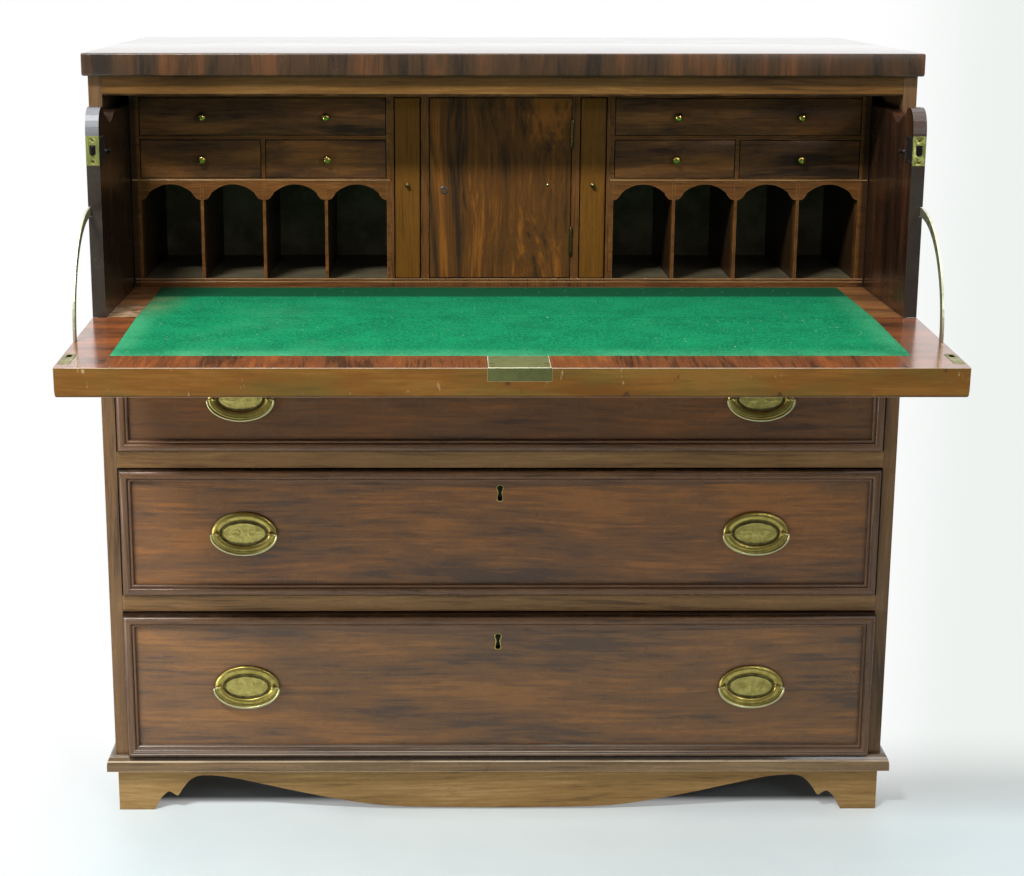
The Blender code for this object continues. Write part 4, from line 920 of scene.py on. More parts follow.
    @staticmethod
    def copy(piece: Piece, name: str, move: Matrix) -> Piece:
        """A copy with its own mesh, moved in its mesh."""
        twin = piece.copy()
        twin.data = piece.data.copy()
        twin.name = twin.data.name = name
        twin.data.transform(move)
        if move.determinant() < 0:
            twin.data.flip_normals()
        bpy.context.scene.collection.objects.link(twin)
        return twin

    @staticmethod
    def scrap(*pieces: Piece) -> None:
        """Removes patterns that have been copied."""
        for piece in pieces:
            bpy.data.objects.remove(piece, do_unlink=True)

    @staticmethod
    def smooth(piece: Piece, angle: float = 32.0) -> None:
        """Shades rounded surfaces smooth and leaves arrises sharp."""
        Bench.take(piece)
        bpy.ops.object.shade_smooth_by_angle(angle=math.radians(angle))

    @staticmethod
    def finish(piece: Piece, material: Material, angle: float = 32.0) -> None:
        """Shades a piece and gives it one finish."""
        Bench.smooth(piece, angle)
        piece.data.materials.append(material)

    @staticmethod
    def face(piece: Piece, choose: Callable[[Facet], int], *materials: Material) -> None:
        """Gives each face one of several materials by its place."""
        piece.data.materials.clear()
        for material in materials:
            piece.data.materials.append(material)
        for polygon in piece.data.polygons:
            polygon.material_index = choose(polygon)


def rotation(degrees: float, axis: str) -> Matrix:
    """A turn about one axis."""
    return Matrix.Rotation(math.radians(degrees), 4, axis)


def corners(node: str) -> tuple[Vector, Vector]:
    """A frame node's lowest and highest corner."""
    low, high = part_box(node)
    return Vector(low), Vector(high)


def arc(degrees: float, steps: int) -> list[float]:
    """The turns, in radians, at the end of each of an arc's equal steps."""
    return [math.radians(degrees) * step / steps for step in range(1, steps + 1)]


FACING_FRONT = rotation(90.0, "X")


def hand_over(piece: Piece, body: str, slot: str, *nodes: str) -> None:
    """Fixes a finished piece to a body and hides the frame's nodes that it replaces.

    Args:
        piece: The finished piece.
        body: The body that it moves with.
        slot: Not used.
        *nodes: The frame's nodes that it replaces.
    """
    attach(piece, body)
    if nodes:
        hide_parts(*nodes)
    LOG.info("%s rides on %s", piece.name, body)


def fit_small(piece: Piece, body: str, material: Material, move: Matrix, angle: float = 32.0) -> None:
    """Finishes a small fitting, puts it in its place and fixes it to its body.

    Args:
        piece: The fitting, at the origin.
        body: The body that it moves with.
        material: Its finish.
        move: Takes it to its place.
        angle: Edges sharper than this stay sharp.
    """
    Bench.finish(piece, material, angle)
    piece.data.transform(move)
    hand_over(piece, body, "brass")


def dress(node: str, material: Material) -> None:
    """Gives a frame node a finish in its material slots."""
    for slot in frame["nodes"][node].material_slots:
        slot.material = material
    LOG.info("%s wears %s", node, material.name)


# ---------------------------------------------------------------- sub-assemblies


@dataclass
class FrameMoulding:
    """The mitred moulding round a drawer's field: ovolo, cove and a bead in a quirk."""

    edge: float = 0.0004
    fillet: float = 0.0025
    ovolo: float = 0.0071
    proud: float = 0.009
    flat: float = 0.0015
    cove: float = 0.0035
    cove_foot: float = 0.0058
    quirk: float = 0.0004
    quirk_rise: float = 0.0036
    bead: float = 0.0038
    end: float = 0.0003
    steps: int = 7

    @property
    def width(self) -> float:
        """How wide the moulding is."""
        return self.edge + self.ovolo + self.flat + self.cove + self.quirk + self.bead + self.end

    def section(self) -> list[Pair]:
        """The section's points: how far in from the edge, and how far proud of the field."""
        points = [(self.edge, self.fillet)]
        for turn in arc(90.0, self.steps):
            across, rise = 1 - math.cos(turn), math.sin(turn)
            points.append((self.edge + self.ovolo * across, self.fillet + (self.proud - self.fillet) * rise))
        start = points[-1][0] + self.flat
        points.append((start, self.proud))
        for turn in arc(90.0, self.steps):
            fall = (self.proud - self.cove_foot) * (1 - math.cos(turn))
            points.append((start + self.cove * math.sin(turn), self.proud - fall))
        start = points[-1][0] + self.quirk
        points.append((start, self.quirk_rise))
        for turn in arc(180.0, self.steps):
            across, rise = (1 - math.cos(turn)) * self.bead / 2, math.sin(turn) * self.bead / 2
            points.append((start + across, self.quirk_rise + rise))
        points.append((start + self.bead + self.end, 0.0))
        return points

    def raise_on(self, board: Piece) -> None:
        """Raises the moulding on the board's face that looks to -Y."""
        with Bench.editing(board):
            Bench.pick_faces(board, lambda middle, normal: normal.y < -0.9)
            Bench.ring_in(self.section())

    def chosen(self, polygon: Facet, mesh: bpy.types.Mesh, field: float) -> int:
        """Which material a framed board's face takes.

        Args:
            polygon: The face.
            mesh: The board's mesh.
            field: The field's place along Y.

        Returns:
            0 for a rail of the moulding, 1 for a stile, 2 for the field, 3 for the board behind.
        """
        corners = [mesh.vertices[index].co for index in polygon.vertices]
        if polygon.center.y > field + 0.0002:
            return 3
        wide = max(c.x for c in corners) - min(c.x for c in corners)
        tall = max(c.z for c in corners) - min(c.z for c in corners)
        if min(c.y for c in corners) > field - 0.0002 and min(wide, tall) > 0.02:
            return 2
        return 0 if wide > tall else 1


@dataclass
class Keyhole:
    """A keyhole with its thread escutcheon, set into a board that faces -Y."""

    head_radius: float = 0.0052
    head_up: float = 0.0066
    waist: float = 0.0034
    skirt: float = 0.0047
    foot_down: float = 0.0128
    thread: float = 0.0012
    depth: float = 0.008
    head_steps: int = 12

    def outline(self, shrink: float) -> list[Pair]:
        """The keyhole's outline, from its foot up its right side and down its left, drawn in by shrink."""
        head, waist, skirt = self.head_radius - shrink, self.waist - shrink, self.skirt - shrink
        foot = self.foot_down - shrink
        right = [
            (0.45 * skirt, -foot), (0.82 * skirt, 0.0005 - foot), (skirt, 0.0018 - foot),
            (0.95 * skirt, -0.6 * foot), (waist, -0.08 * foot),
        ]
        start = -math.acos(waist / head)
        for step in range(self.head_steps):
            turn = start + (math.radians(90.0) - start) * (step + 0.5) / self.head_steps
            right.append((head * math.cos(turn), self.head_up + head * math.sin(turn)))
        return right + [(-across, up) for across, up in reversed(right)]

    def slab(self, name: str, shrink: float, front: float, back: float) -> Piece:
        """A slab of the outline between two depths."""
        Bench.clear()
        outline = self.outline(shrink)
        bpy.ops.mesh.primitive_circle_add(vertices=len(outline), radius=1.0, fill_type="NGON")
        piece = Bench.settle(name)
        for vertex, (across, up) in zip(piece.data.vertices, outline):
            vertex.co = (across, up, -back)
        with Bench.editing(piece):
            Bench.pick_all()
            Bench.draw_out(0.0, 0.0, back - front)
            Bench.face_out()
        piece.data.transform(FACING_FRONT)
        return piece

    def cut_into(self, board: Piece, name: str, place: Place) -> Piece:
        """Cuts the keyhole into a board and makes its escutcheon.

        Args:
            board: The board, which faces -Y.
            name: The escutcheon's name.
            place: The keyhole's middle on the board's face.

        Returns:
            The escutcheon, let into the board.
        """
        move = Matrix.Translation(place)
        seat = self.slab("seat", 0.0, -0.002, 0.0015)
        well = self.slab("well", self.thread, -0.002, self.depth)
        for tool in (seat, well):
            tool.data.transform(move)
            Bench.cut(board, tool)
        thread = self.slab(name, 0.00005, -0.00025, 0.0014)
        thread.data.transform(move)
        well = self.slab("well", self.thread, -0.003, 0.004)
        well.data.transform(move)
        Bench.cut(thread, well)
        Bench.ease(thread, 0.0002, 2)
        Bench.smooth(thread)
        return thread


@dataclass
class HandlePattern:
    """An oval plate with ball-headed posts, and its bail: modelled once and copied."""

    width: float = 0.0915
    height: float = 0.0610
    edge: float = 0.0008
    rim: float = 0.0120
    rim_rise: float = 0.0038
    field: float = 0.0030
    field_rise: float = 0.0002
    slope: float = 0.0012
    medallion_rise: float = 0.0022
    relief: float = 0.0011
    sides: int = 96
    rings: int = 22
    post_from_centre: float = 0.0370
    ball: float = 0.0034
    pivot_rise: float = 0.0082
    bail_half_width: float = 0.0458
    bail_drop: float = 0.0285
    bail_radius: float = 0.0019
    pin_radius: float = 0.0012
    plate: Piece | None = None
    bail: Piece | None = None

    def section(self) -> list[Pair]:
        """The plate's section in from its edge: a rounded band, a sunk field, the medallion's slope."""
        points = []
        for turn in arc(180.0, 12)[:-1]:
            across = self.rim * (1 - math.cos(turn)) / 2
            points.append((across, self.rim_rise * math.sin(turn) ** 0.8 * 0.94))
        points.append((self.rim, self.field_rise))
        points.append((self.rim + self.field, self.field_rise))
        points.append((self.rim + self.field + self.slope * 0.4, self.medallion_rise * 0.8))
        points.append((self.rim + self.field + self.slope, self.medallion_rise))
        return points

    def carving(self, across: float, up: float) -> float:
        """The medallion's relief: a rosette between two sprays of leaves, inside a beaded border."""
        half_w = self.width / 2 - self.rim - self.field - self.slope
        half_h = self.height / 2 - self.rim - self.field - self.slope
        out = math.hypot(across / half_w, up / half_h)
        turn = math.atan2(up / half_h, across / half_w)
        if out > 0.86:
            bead = abs(math.sin(turn * 24)) * max(0.0, 1 - ((out - 0.93) / 0.065) ** 2)
            return 0.42 * bead
        height = 0.0
        from_middle = math.hypot(across, up)
        if from_middle < 0.0068:
            petal = 0.55 + 0.45 * abs(math.cos(math.atan2(up, across) * 4))
            height = max(0.0, 1 - (from_middle / (0.0066 * petal)) ** 2) * 0.75
            height = max(height, max(0.0, 1 - (from_middle / 0.0022) ** 2))
        for step in range(5):
            stem = 0.0070 + 0.0038 * step
            for lean in (-1, 1):
                dx = abs(across) - stem - 0.0016
                dy = up - lean * (0.0034 - 0.0003 * step)
                a = dx * 0.78 + lean * dy * 0.62
                b = -lean * dx * 0.62 + dy * 0.78
                size = 0.0040 - 0.0004 * step
                away = (a / size) ** 2 + (b / (size * 0.42)) ** 2
                height = max(height, max(0.0, 1 - away) ** 0.7 * 0.8)
        if abs(up) < 0.0007 and 0.006 < abs(across) < 0.024:
            height = max(height, 0.5)
        return height

    def make(self, palette: Palette) -> None:
        """Models the plate and the bail, both facing -Y about the plate's middle at its back."""
        Bench.clear()
        bpy.ops.mesh.primitive_circle_add(vertices=self.sides, radius=self.width / 2, fill_type="NGON")
        plate = Bench.settle("plate")
        with Bench.editing(plate):
            Bench.pick_all()
            Bench.draw_in(1.0, self.height / self.width, 0.0)
            Bench.draw_out(0.0, 0.0, self.edge)
            Bench.ring_in(self.section())
            top = self.edge + self.medallion_rise
            share = 1.0
            for step in range(1, self.rings):
                Bench.draw_out(0.0, 0.0, 0.0)
                next_share = 1.0 - step / self.rings
                ratio = next_share / share
                Bench.draw_in(ratio, ratio, top)
                share = next_share
            bpy.ops.mesh.merge(type="CENTER")
            Bench.face_out()
        inner = self.rim + self.field + self.slope
        half_w, half_h = self.width / 2 - inner, self.height / 2 - inner
        for vertex in plate.data.vertices:
            x, y, z = vertex.co
            inside = math.hypot(x / half_w, y / half_h)
            if z > top - 0.0001 and inside < 0.995:
                crown = 0.0004 * (1 - inside * inside)
                vertex.co.z = top - self.relief * 0.35 + crown + self.relief * 0.5 * self.carving(x, y)
        Bench.smooth(plate, 40.0)

        def choose(polygon: Facet) -> int:
            """0 for the rim, 1 for the stamped medallion, 2 for the blackened groove round it."""
            across, up, rise = polygon.center
            if math.hypot(across / half_w, up / half_h) < 1.0 and rise > self.edge + self.medallion_rise / 2:
                return 1
            groove = self.slope + self.field
            far = math.hypot(across / (half_w + groove), up / (half_h + groove))
            return 2 if far < 1.0 and rise > self.edge / 2 else 0

        Bench.face(
            plate, choose, palette.oval_brass.material(), palette.stamped_brass.material(),
            palette.dark_brass.material(),
        )
        posts = []
        for sign in (-1, 1):
            post = self.post()
            post.data.materials.append(palette.oval_brass.material())
            post.data.transform(Matrix.Translation((sign * self.post_from_centre, 0.0, 0.0)))
            posts.append(post)
        self.plate = Bench.join("plate", [plate, *posts])
        self.plate.data.transform(FACING_FRONT)
        self.bail = self.bent_bail()
        self.bail.data.materials.append(palette.bail_brass.material())

    def post(self) -> Piece:
        """A post: a collar, a waist and a ball that the bail's pin enters."""
        rings = [(0.0036, 0.0012), (0.0036, 0.0030), (0.0030, 0.0036), (0.0019, 0.0042), (0.0019, 0.0050)]
        centre = self.pivot_rise - 0.0001
        for half_turn in arc(180.0, 12)[1:-1]:
            turn = half_turn - math.radians(90.0)
            rings.append((self.ball * math.cos(turn), centre + self.ball * math.sin(turn)))
        post = Bench.stack("post", rings, 20)
        Bench.smooth(post, 50.0)
        return post

    def bent_bail(self) -> Piece:
        """Half an oval of rod, thicker at its middle, whose thin ends turn in to the posts."""
        thin = self.pin_radius / self.bail_radius
        start = self.post_from_centre + 0.0008
        shoulder = self.post_from_centre + self.ball + 0.0003
        path = [((-start, 0.0, 0.0), thin), ((-shoulder, 0.0, 0.0), thin)]
        steps = 40
        for step in range(steps + 1):
            turn = math.radians(180.0) * step / steps
            thick = 0.78 + 0.22 * math.sin(turn) ** 0.8 if 0 < step < steps else 0.78
            down = -self.bail_drop * math.sin(turn) - self.pin_radius
            path.append(((-self.bail_half_width * math.cos(turn), 0.0, down), thick))
        path += [((shoulder, 0.0, 0.0), thin), ((start, 0.0, 0.0), thin)]
        bail = Bench.rod("bail", path, self.bail_radius)
        Bench.smooth(bail, 60.0)
        return bail

    def fit(self, plate_node: str, bail_node: str, body: str, seat: Matrix, hang: Matrix) -> None:
        """Puts one handle in place.

        Args:
            plate_node: The plate's node, whose name the piece takes up.
            bail_node: The bail's node, which is also its body.
            body: The body that carries the plate.
            seat: Takes the pattern's middle to the plate's.
            hang: Takes the bail's pivot line to its own.
        """
        plate = Bench.copy(self.plate, f"{plate_node}_fine", seat)
        hand_over(plate, body, "brass", plate_node)
        bail = Bench.copy(self.bail, f"{bail_node}_fine", hang)
        hand_over(bail, bail_node, "brass", bail_node)


@dataclass
class LongDrawer:
    """One of the long drawers: framed front, keyhole and two handles."""

    number: int
    moulding: FrameMoulding
    handles: HandlePattern
    palette: Palette
    handle_from_end: float = 0.1725
    keyhole_x: float = 0.0
    keyhole_share: float = 0.815
    shadow_line: float = 0.0024
    reed_highlights: bool = False
    fit: float = 0.0003

    def rubbed(self, foot: float, place: Value, normal: Value, under: Value) -> Value:
        """The lowest rail of the moulding, with painted highlight lines along its reeds that fade to the
        right.
        """
        across, _, up = place.parts()
        low = up.span(foot + 0.0190, foot + 0.0160) * up.span(foot + 0.0040, foot + 0.0060)
        low = low * across.span(0.42, 0.10, 0.25, 1.0)
        reeds = under.sheet.sum("SINE", up * 1750.0).span(-0.2, 0.8)
        streaks = place.scaled((6.0, 6.0, 160.0)).noise(1.0, 3.0).span(0.3, 0.7, 0.35, 1.0)
        share = low * reeds * streaks
        # Pale lines on the reeds: painted highlights.
        return under.under(share, (0.360, 0.320, 0.270))

    def build(self) -> None:
        """Models the drawer's front and hangs its handles."""
        node = f"drawer_front_{self.number}"
        body = f"drawer_{self.number}"
        low, high = corners(node)
        field = low.y + self.moulding.proud
        front = Bench.block(f"{node}_fine", (low.x, field, low.z), high)
        self.moulding.raise_on(front)
        keyhole = Keyhole()
        place = (self.keyhole_x, field, low.z + (high.z - low.z) * self.keyhole_share)
        thread = keyhole.cut_into(front, f"escutcheon_{self.number}", place)
        Bench.smooth(front)
        seed = self.number
        mesh = front.data
        outline = ((low.x, None, low.z), (high.x, None, high.z))
        rails, stiles = (
            Finish.lined(
                self.palette.moulding.material(grain, seed), f"frame_{grain.name.lower()}_{seed}", outline,
                self.shadow_line, SHADOW,
            ) for grain in (Grain.ACROSS, Grain.UPRIGHT)
        )
        # The bottom drawer's lowest rail takes painted highlight lines.
        if self.reed_highlights:
            rails = Finish.variant(rails, f"rubbed_{seed}", lambda *given: self.rubbed(low.z, *given))
        # The top drawer takes the painted-shade copy of the panel, the bottom one the painted-light copy.
        panel = (self.palette.shaded_high_panel, self.palette.panel, self.palette.lit_low_panel)[seed - 1]
        # The board behind the moulding takes the near-black cheek wood: painted shade in the gap round the
        # front.
        Bench.face(
            front, lambda polygon: self.chosen(polygon, mesh, field), rails, stiles,
            panel.material(Grain.ACROSS, seed), self.palette.cheek.material(Grain.ACROSS, seed),
            self.palette.iron.material(),
        )
        hand_over(front, body, "mahogany_dark", node)
        thread.data.materials.append(self.palette.brass.material())
        hand_over(thread, body, "brass")
        dress(f"drawer_box_{self.number}", self.palette.oak.material(Grain.ACROSS, seed))
        for side in Side:
            across = side.value * (high.x - self.handle_from_end)
            middle = Vector((across, field - self.fit, (low.z + high.z) / 2))
            pivot = middle + Vector((0.0, -self.handles.pivot_rise, 0.0))
            self.handles.fit(
                f"drawer_plate_{self.number}_{side.word}", f"drawer_bail_{self.number}_{side.word}", body,
                Matrix.Translation(middle), Matrix.Translation(pivot),
            )

    def chosen(self, polygon: Facet, mesh: bpy.types.Mesh, field: float) -> int:
        """A framed board's materials, and iron in the keyhole's well."""
        middle = polygon.center
        if abs(middle.x - self.keyhole_x) < 0.008 and field + 0.0002 < middle.y < field + 0.0085:
            return 4
        return self.moulding.chosen(polygon, mesh, field)


@dataclass
class Fall:
    """The fall front, lying open: framed outside, crossbanded and baize-lined inside."""

    moulding: FrameMoulding
    handles: HandlePattern
    palette: Palette
    thickness: float = 0.027
    lip: float = 0.0365
    lip_inset: float = 0.017
    length: float = 0.2720
    gap: float = 0.0005
    droop: float = 2.2
    baize_half: float = 0.475
    baize_thick: float = 0.0012
    baize_proud: float = 0.0003
    front_margin: float = 0.060
    lock_reach: float = 0.016
    lock_thin: float = 0.0015
    lock_screw_rows: Pair = (0.0077, 0.0187)
    lock_screw_inset: float = 0.0052
    lock_highlight: float = 0.0009
    highlit_line: float = 0.0010
    shaded_band: float = 0.0038
    joint_line: float = 0.0014
    handle_level: float = 0.118
    handle_from_end: float = 0.1725
    stay_radius: float = 0.136
    stay_width: float = 0.011
    stay_thin: float = 0.0026
    stay_foot: float = 0.0145
    catch_level: float = 0.213
    catch_from_end: float = 0.0085
    bolt_seat: Pair = (0.0037, 0.0072)
    bolt_hole: Pair = (0.0032, 0.0066)
    strike_half: float = 0.0072
    strike_screws: Pair = (0.0135, 0.0355)
    screw_share: float = 0.75
    fit: float = 0.0003

    def __post_init__(self) -> None:
        """Finds the hinge line and the turn that lays the fall open."""
        joint = next(j for j in frame["record"]["behaviour"]["joints"] if j["name"] == "fall_hinge")
        self.hinge = Vector(joint["pos_m"])
        self.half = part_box("fall_front")[1][0]
        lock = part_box("fall_lock")
        self.lock_half = (lock[1][0] - lock[0][0]) / 2 + self.fit
        self.lock_middle = (lock[1][0] + lock[0][0]) / 2
        self.lay = Matrix.Translation(self.hinge) @ rotation(90.0 + self.droop, "X")

    def build(self) -> None:
        """Models the fall upright on its hinge line, cuts its recesses and lays it open."""
        board = self.board()
        mesh = board.data
        self.finish_faces(board, mesh)
        board.data.transform(self.lay)
        hand_over(board, "fall", "mahogany_dark", "fall_front")
        self.cloth()
        self.lock()
        for side in Side:
            self.strike(side)
            dress(f"stay_{side.word}", self.palette.stay_brass.material())
            across = side.value * (self.half - self.handle_from_end)
            middle = Vector((across, -self.thickness - self.fit, self.handle_level))
            pivot = self.lay @ (middle + Vector((0.0, -self.handles.pivot_rise, 0.0)))
            self.handles.fit(
                f"fall_plate_{side.word}", f"fall_bail_{side.word}", "fall",
                self.lay @ Matrix.Translation(middle), Matrix.Translation(pivot),
            )

    def board(self) -> Piece:
        """The fall's board with its moulding, lip, and the recesses for baize, lock, stays and catches."""
        top, thin = self.length, self.lock_thin
        low, high = (-self.half, -self.thickness, -self.lip), (self.half, 0.0, top)
        board = Bench.block("fall_front_fine", low, high)
        self.moulding.raise_on(board)
        over, wide = 0.004, self.half + 0.004
        baize_top = top - self.front_margin
        lock = (self.lock_middle - self.lock_half, self.lock_middle + self.lock_half)
        cuts = [
            ((-wide, -self.lip_inset, -self.lip - over), (wide, over, self.gap)),
            ((-self.baize_half, -self.baize_thick, self.gap - over), (self.baize_half, over, baize_top)),
            ((lock[0], -thin, baize_top), (lock[1], over, top + over)),
            ((lock[0], -self.lock_reach, top - thin), (lock[1], over, top + over)),
        ]
        inner, outer = self.stay_radius - self.stay_width / 2, self.stay_radius + self.stay_width / 2
        for side in Side:
            ends = sorted((side.value * (self.half - self.stay_thin - 2 * self.fit), side.value * wide))
            cuts.append((
                (ends[0], -self.stay_foot - self.gap, inner - self.gap), (ends[1], over, outer + self.gap),
            ))
            catch = side.value * (self.half - self.catch_from_end)
            cuts.append((
                (catch - self.bolt_seat[0], -over, self.catch_level - self.bolt_seat[1]),
                (catch + self.bolt_seat[0], over, self.catch_level + self.bolt_seat[1]),
            ))
        for number, (low, high) in enumerate(cuts):
            Bench.cut(board, Bench.block(f"cut_{number}", low, high))
        with Bench.editing(board):
            for across in (self.baize_half, -self.baize_half):
                Bench.pick_all()
                bpy.ops.mesh.bisect(plane_co=(across, 0.0, 0.0), plane_no=(1.0, 0.0, 0.0))
        Bench.smooth(board)
        return board

    def finish_faces(self, board: Piece, mesh: bpy.types.Mesh) -> None:
        """Gives the fall's faces their woods: crossbanding inside, golden edge, framed outside, with painted
        highlights and painted shade along the front edge.
        """
        def choose(polygon: Facet) -> int:
            """The material's number for one face of the upright fall."""
            middle, normal = polygon.center, polygon.normal
            if normal.y > 0.7 and middle.z > self.gap and middle.y > -0.0004:
                return 5 if abs(middle.x) > self.baize_half - 0.0002 else 4
            if normal.z > 0.7 and middle.z > self.length - 0.002 and middle.y > -self.thickness:
                return 6
            if normal.z > 0.05 and middle.z > self.length - self.moulding.edge - self.moulding.ovolo:
                return 6 if normal.z > 0.45 else 7
            return self.moulding.chosen(polygon, mesh, -self.thickness)

        palette = self.palette
        arris = (self.lay @ Vector((0.0, 0.0, self.length))).z
        edge = ((None, None, None), (None, None, arris))
        handled = Finish.variant(palette.golden.material(Grain.ACROSS, 5), "fall_handled", self.handled)
        below = ((None, None, arris - self.thickness - self.moulding.proud), (None, None, None))
        # Painted shade along the bottom of the front edge, and a thin painted highlight at its foot.
        shaded_underside = Finish.lined(handled, "fall_sooted", below, self.shaded_band, (0.050, 0.026, 0.012), 0.7)
        foot_highlight = Finish.lined(shaded_underside, "fall_footed", below, self.highlit_line, (0.50, 0.34, 0.22), 0.8)
        # A thin painted highlight along the front edge's top arris.
        front_edge = Finish.lined(foot_highlight, "fall_edge", edge, self.highlit_line, ARRIS_HIGHLIGHT)
        joint = ((None, None, None), (None, self.hinge.y, None))
        side_margin = Finish.lined(
            palette.banding.material(Grain.ACROSS, 2), "fall_margin", joint, self.joint_line, DARK_JOINT,
        )
        # The ovolo's curve along the front edge takes a pale tone: a painted highlight.
        crest_highlight = Finish.variant(
            palette.string.material(Grain.ACROSS, 6), "fall_lower_line",
            lambda place, normal, under: under.under(0.6, (0.85, 0.62, 0.38)),
        )
        Bench.face(
            board, choose, palette.moulding.material(Grain.ACROSS, 4),
            palette.moulding.material(Grain.DEEP, 4), palette.panel.material(Grain.ACROSS, 4),
            palette.golden.material(Grain.ACROSS, 4), palette.banding.material(Grain.DEEP, 1),
            side_margin, front_edge, crest_highlight,
        )

    def cloth(self) -> None:
        """The fall's baize, laid in its recess."""
        top = self.length - self.front_margin
        cloth = Cloth("baize_fall_cloth", "baize_fall", "fall", self.baize_half - self.fit, "fall_front_fine")
        low = (-self.baize_half + self.fit, -self.baize_thick + self.fit, 2 * self.gap)
        high = (self.baize_half - self.fit, self.baize_proud, top - self.fit)
        front = (self.lay @ Vector((0.0, 0.0, top))).y
        cloth.build(low, high, 1, self.lay, front)

    def lock(self) -> None:
        """The lock's plate: let into the inner face, bent over the edge, with its four screws; its lighter
        top and darker edge paint light and shade, with a painted highlight round its outline.
        """
        start, top, thin = self.length - self.front_margin, self.length, self.lock_thin
        half, middle = self.lock_half - self.fit, self.lock_middle
        plate = Bench.block(
            "fall_lock_fine", (middle - half, self.fit - thin, start + self.fit),
            (middle + half, 0.0, top - thin + self.fit),
        )
        with Bench.editing(plate):
            Bench.pick_faces(plate, lambda middle, normal: normal.z > 0.9)
            Bench.draw_out(0.0, 0.0, thin - self.fit)
            Bench.pick_faces(plate, lambda middle, normal: normal.y < -0.9 and middle.z > top - thin)
            Bench.draw_out(0.0, thin - self.lock_reach, 0.0)
        Bench.ease(plate, 0.0004, 3)
        Bench.smooth(plate)
        plate.data.transform(self.lay)
        low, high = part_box("fall_lock")
        outline = (
            (low[0] + self.fit, low[1] + self.fit, None), (high[0] - self.fit, high[1] - self.fit, None),
        )
        # A painted highlight round the top face's outline.
        bright = Finish.lined(
            self.palette.lit_lock_brass.material(), "lock_face_brass", outline, self.lock_highlight,
            (0.95, 0.92, 0.72),
        )
        # Faces that don't look up take the darker copy: painted shade.
        shaded_sides = self.palette.shaded_lock_edge.material()
        Bench.face(plate, lambda polygon: int(polygon.normal.z < 0.6), bright, shaded_sides)
        hand_over(plate, "fall", "brass", "fall_lock")
        places = ((sign, down) for down in self.lock_screw_rows for sign in (-1, 1))
        for number, (sign, down) in enumerate(places):
            seat = Matrix.Translation((middle + sign * (half - self.lock_screw_inset), 0.0, top - down))
            SCREWS.set(f"lock_screw_{number + 1}", "fall", self.lay @ seat, 35.0 * number)

    @staticmethod
    def handled(place: Value, normal: Value, under: Value) -> Value:
        """The front edge's marks of use: olive and orange patches, pale nicks and a few dark knots."""
        patch = place.scaled((9.0, 9.0, 30.0)).noise(1.0, 4.0, 0.6).span(0.35, 0.65)
        toned = under.under(0.45, under.sheet.blend(patch, (0.205, 0.078, 0.014), (0.150, 0.105, 0.022)))
        nicks = place.scaled((75.0, 75.0, 28.0)).noise(1.0, 3.0, 0.7)
        marked = toned.under(nicks.span(0.66, 0.74, 0.0, 0.6), (0.46, 0.33, 0.17))
        knots = place.sheet.shift("ADD", place, (3.1, 0.0, 0.7)).noise(42.0, 2.0)
        return marked.under(knots.span(0.70, 0.76, 0.0, 0.7), (0.040, 0.022, 0.010))

    def strike(self, side: Side) -> None:
        """The small plate that a spring catch shoots into, at the fall's corner."""
        middle = side.value * (self.half - self.catch_from_end)
        plate = Bench.block(
            f"strike_{side.word}", (middle - self.strike_half, -0.0010, self.catch_level - 0.0110),
            (middle + self.strike_half, 0.0002, self.catch_level + 0.0420),
        )
        with Bench.editing(plate, "EDGE"):
            Bench.bevel_edges(plate, 0.0050, 6, lambda a, b: abs(a.y - b.y) > 0.0005)
        tool = Bench.block(
            "hole", (middle - self.bolt_hole[0], -0.003, self.catch_level - self.bolt_hole[1]),
            (middle + self.bolt_hole[0], 0.003, self.catch_level + self.bolt_hole[1]),
        )
        Bench.ease(tool, 0.0016, 3)
        Bench.cut(plate, tool)
        for number, up in enumerate(self.strike_screws):
            seat = Matrix.Translation((middle, 0.0002, self.catch_level + up))
            SCREWS.sink(plate, seat, self.screw_share)
            name = f"strike_{side.word}_screw_{number + 1}"
            SCREWS.set(name, "fall", self.lay @ seat, 60.0 * number, self.screw_share, SCREWS.sunk)
        Bench.ease(plate, 0.00012, 2, 70.0)
        fit_small(plate, "fall", self.palette.plate_brass.material(), self.lay)


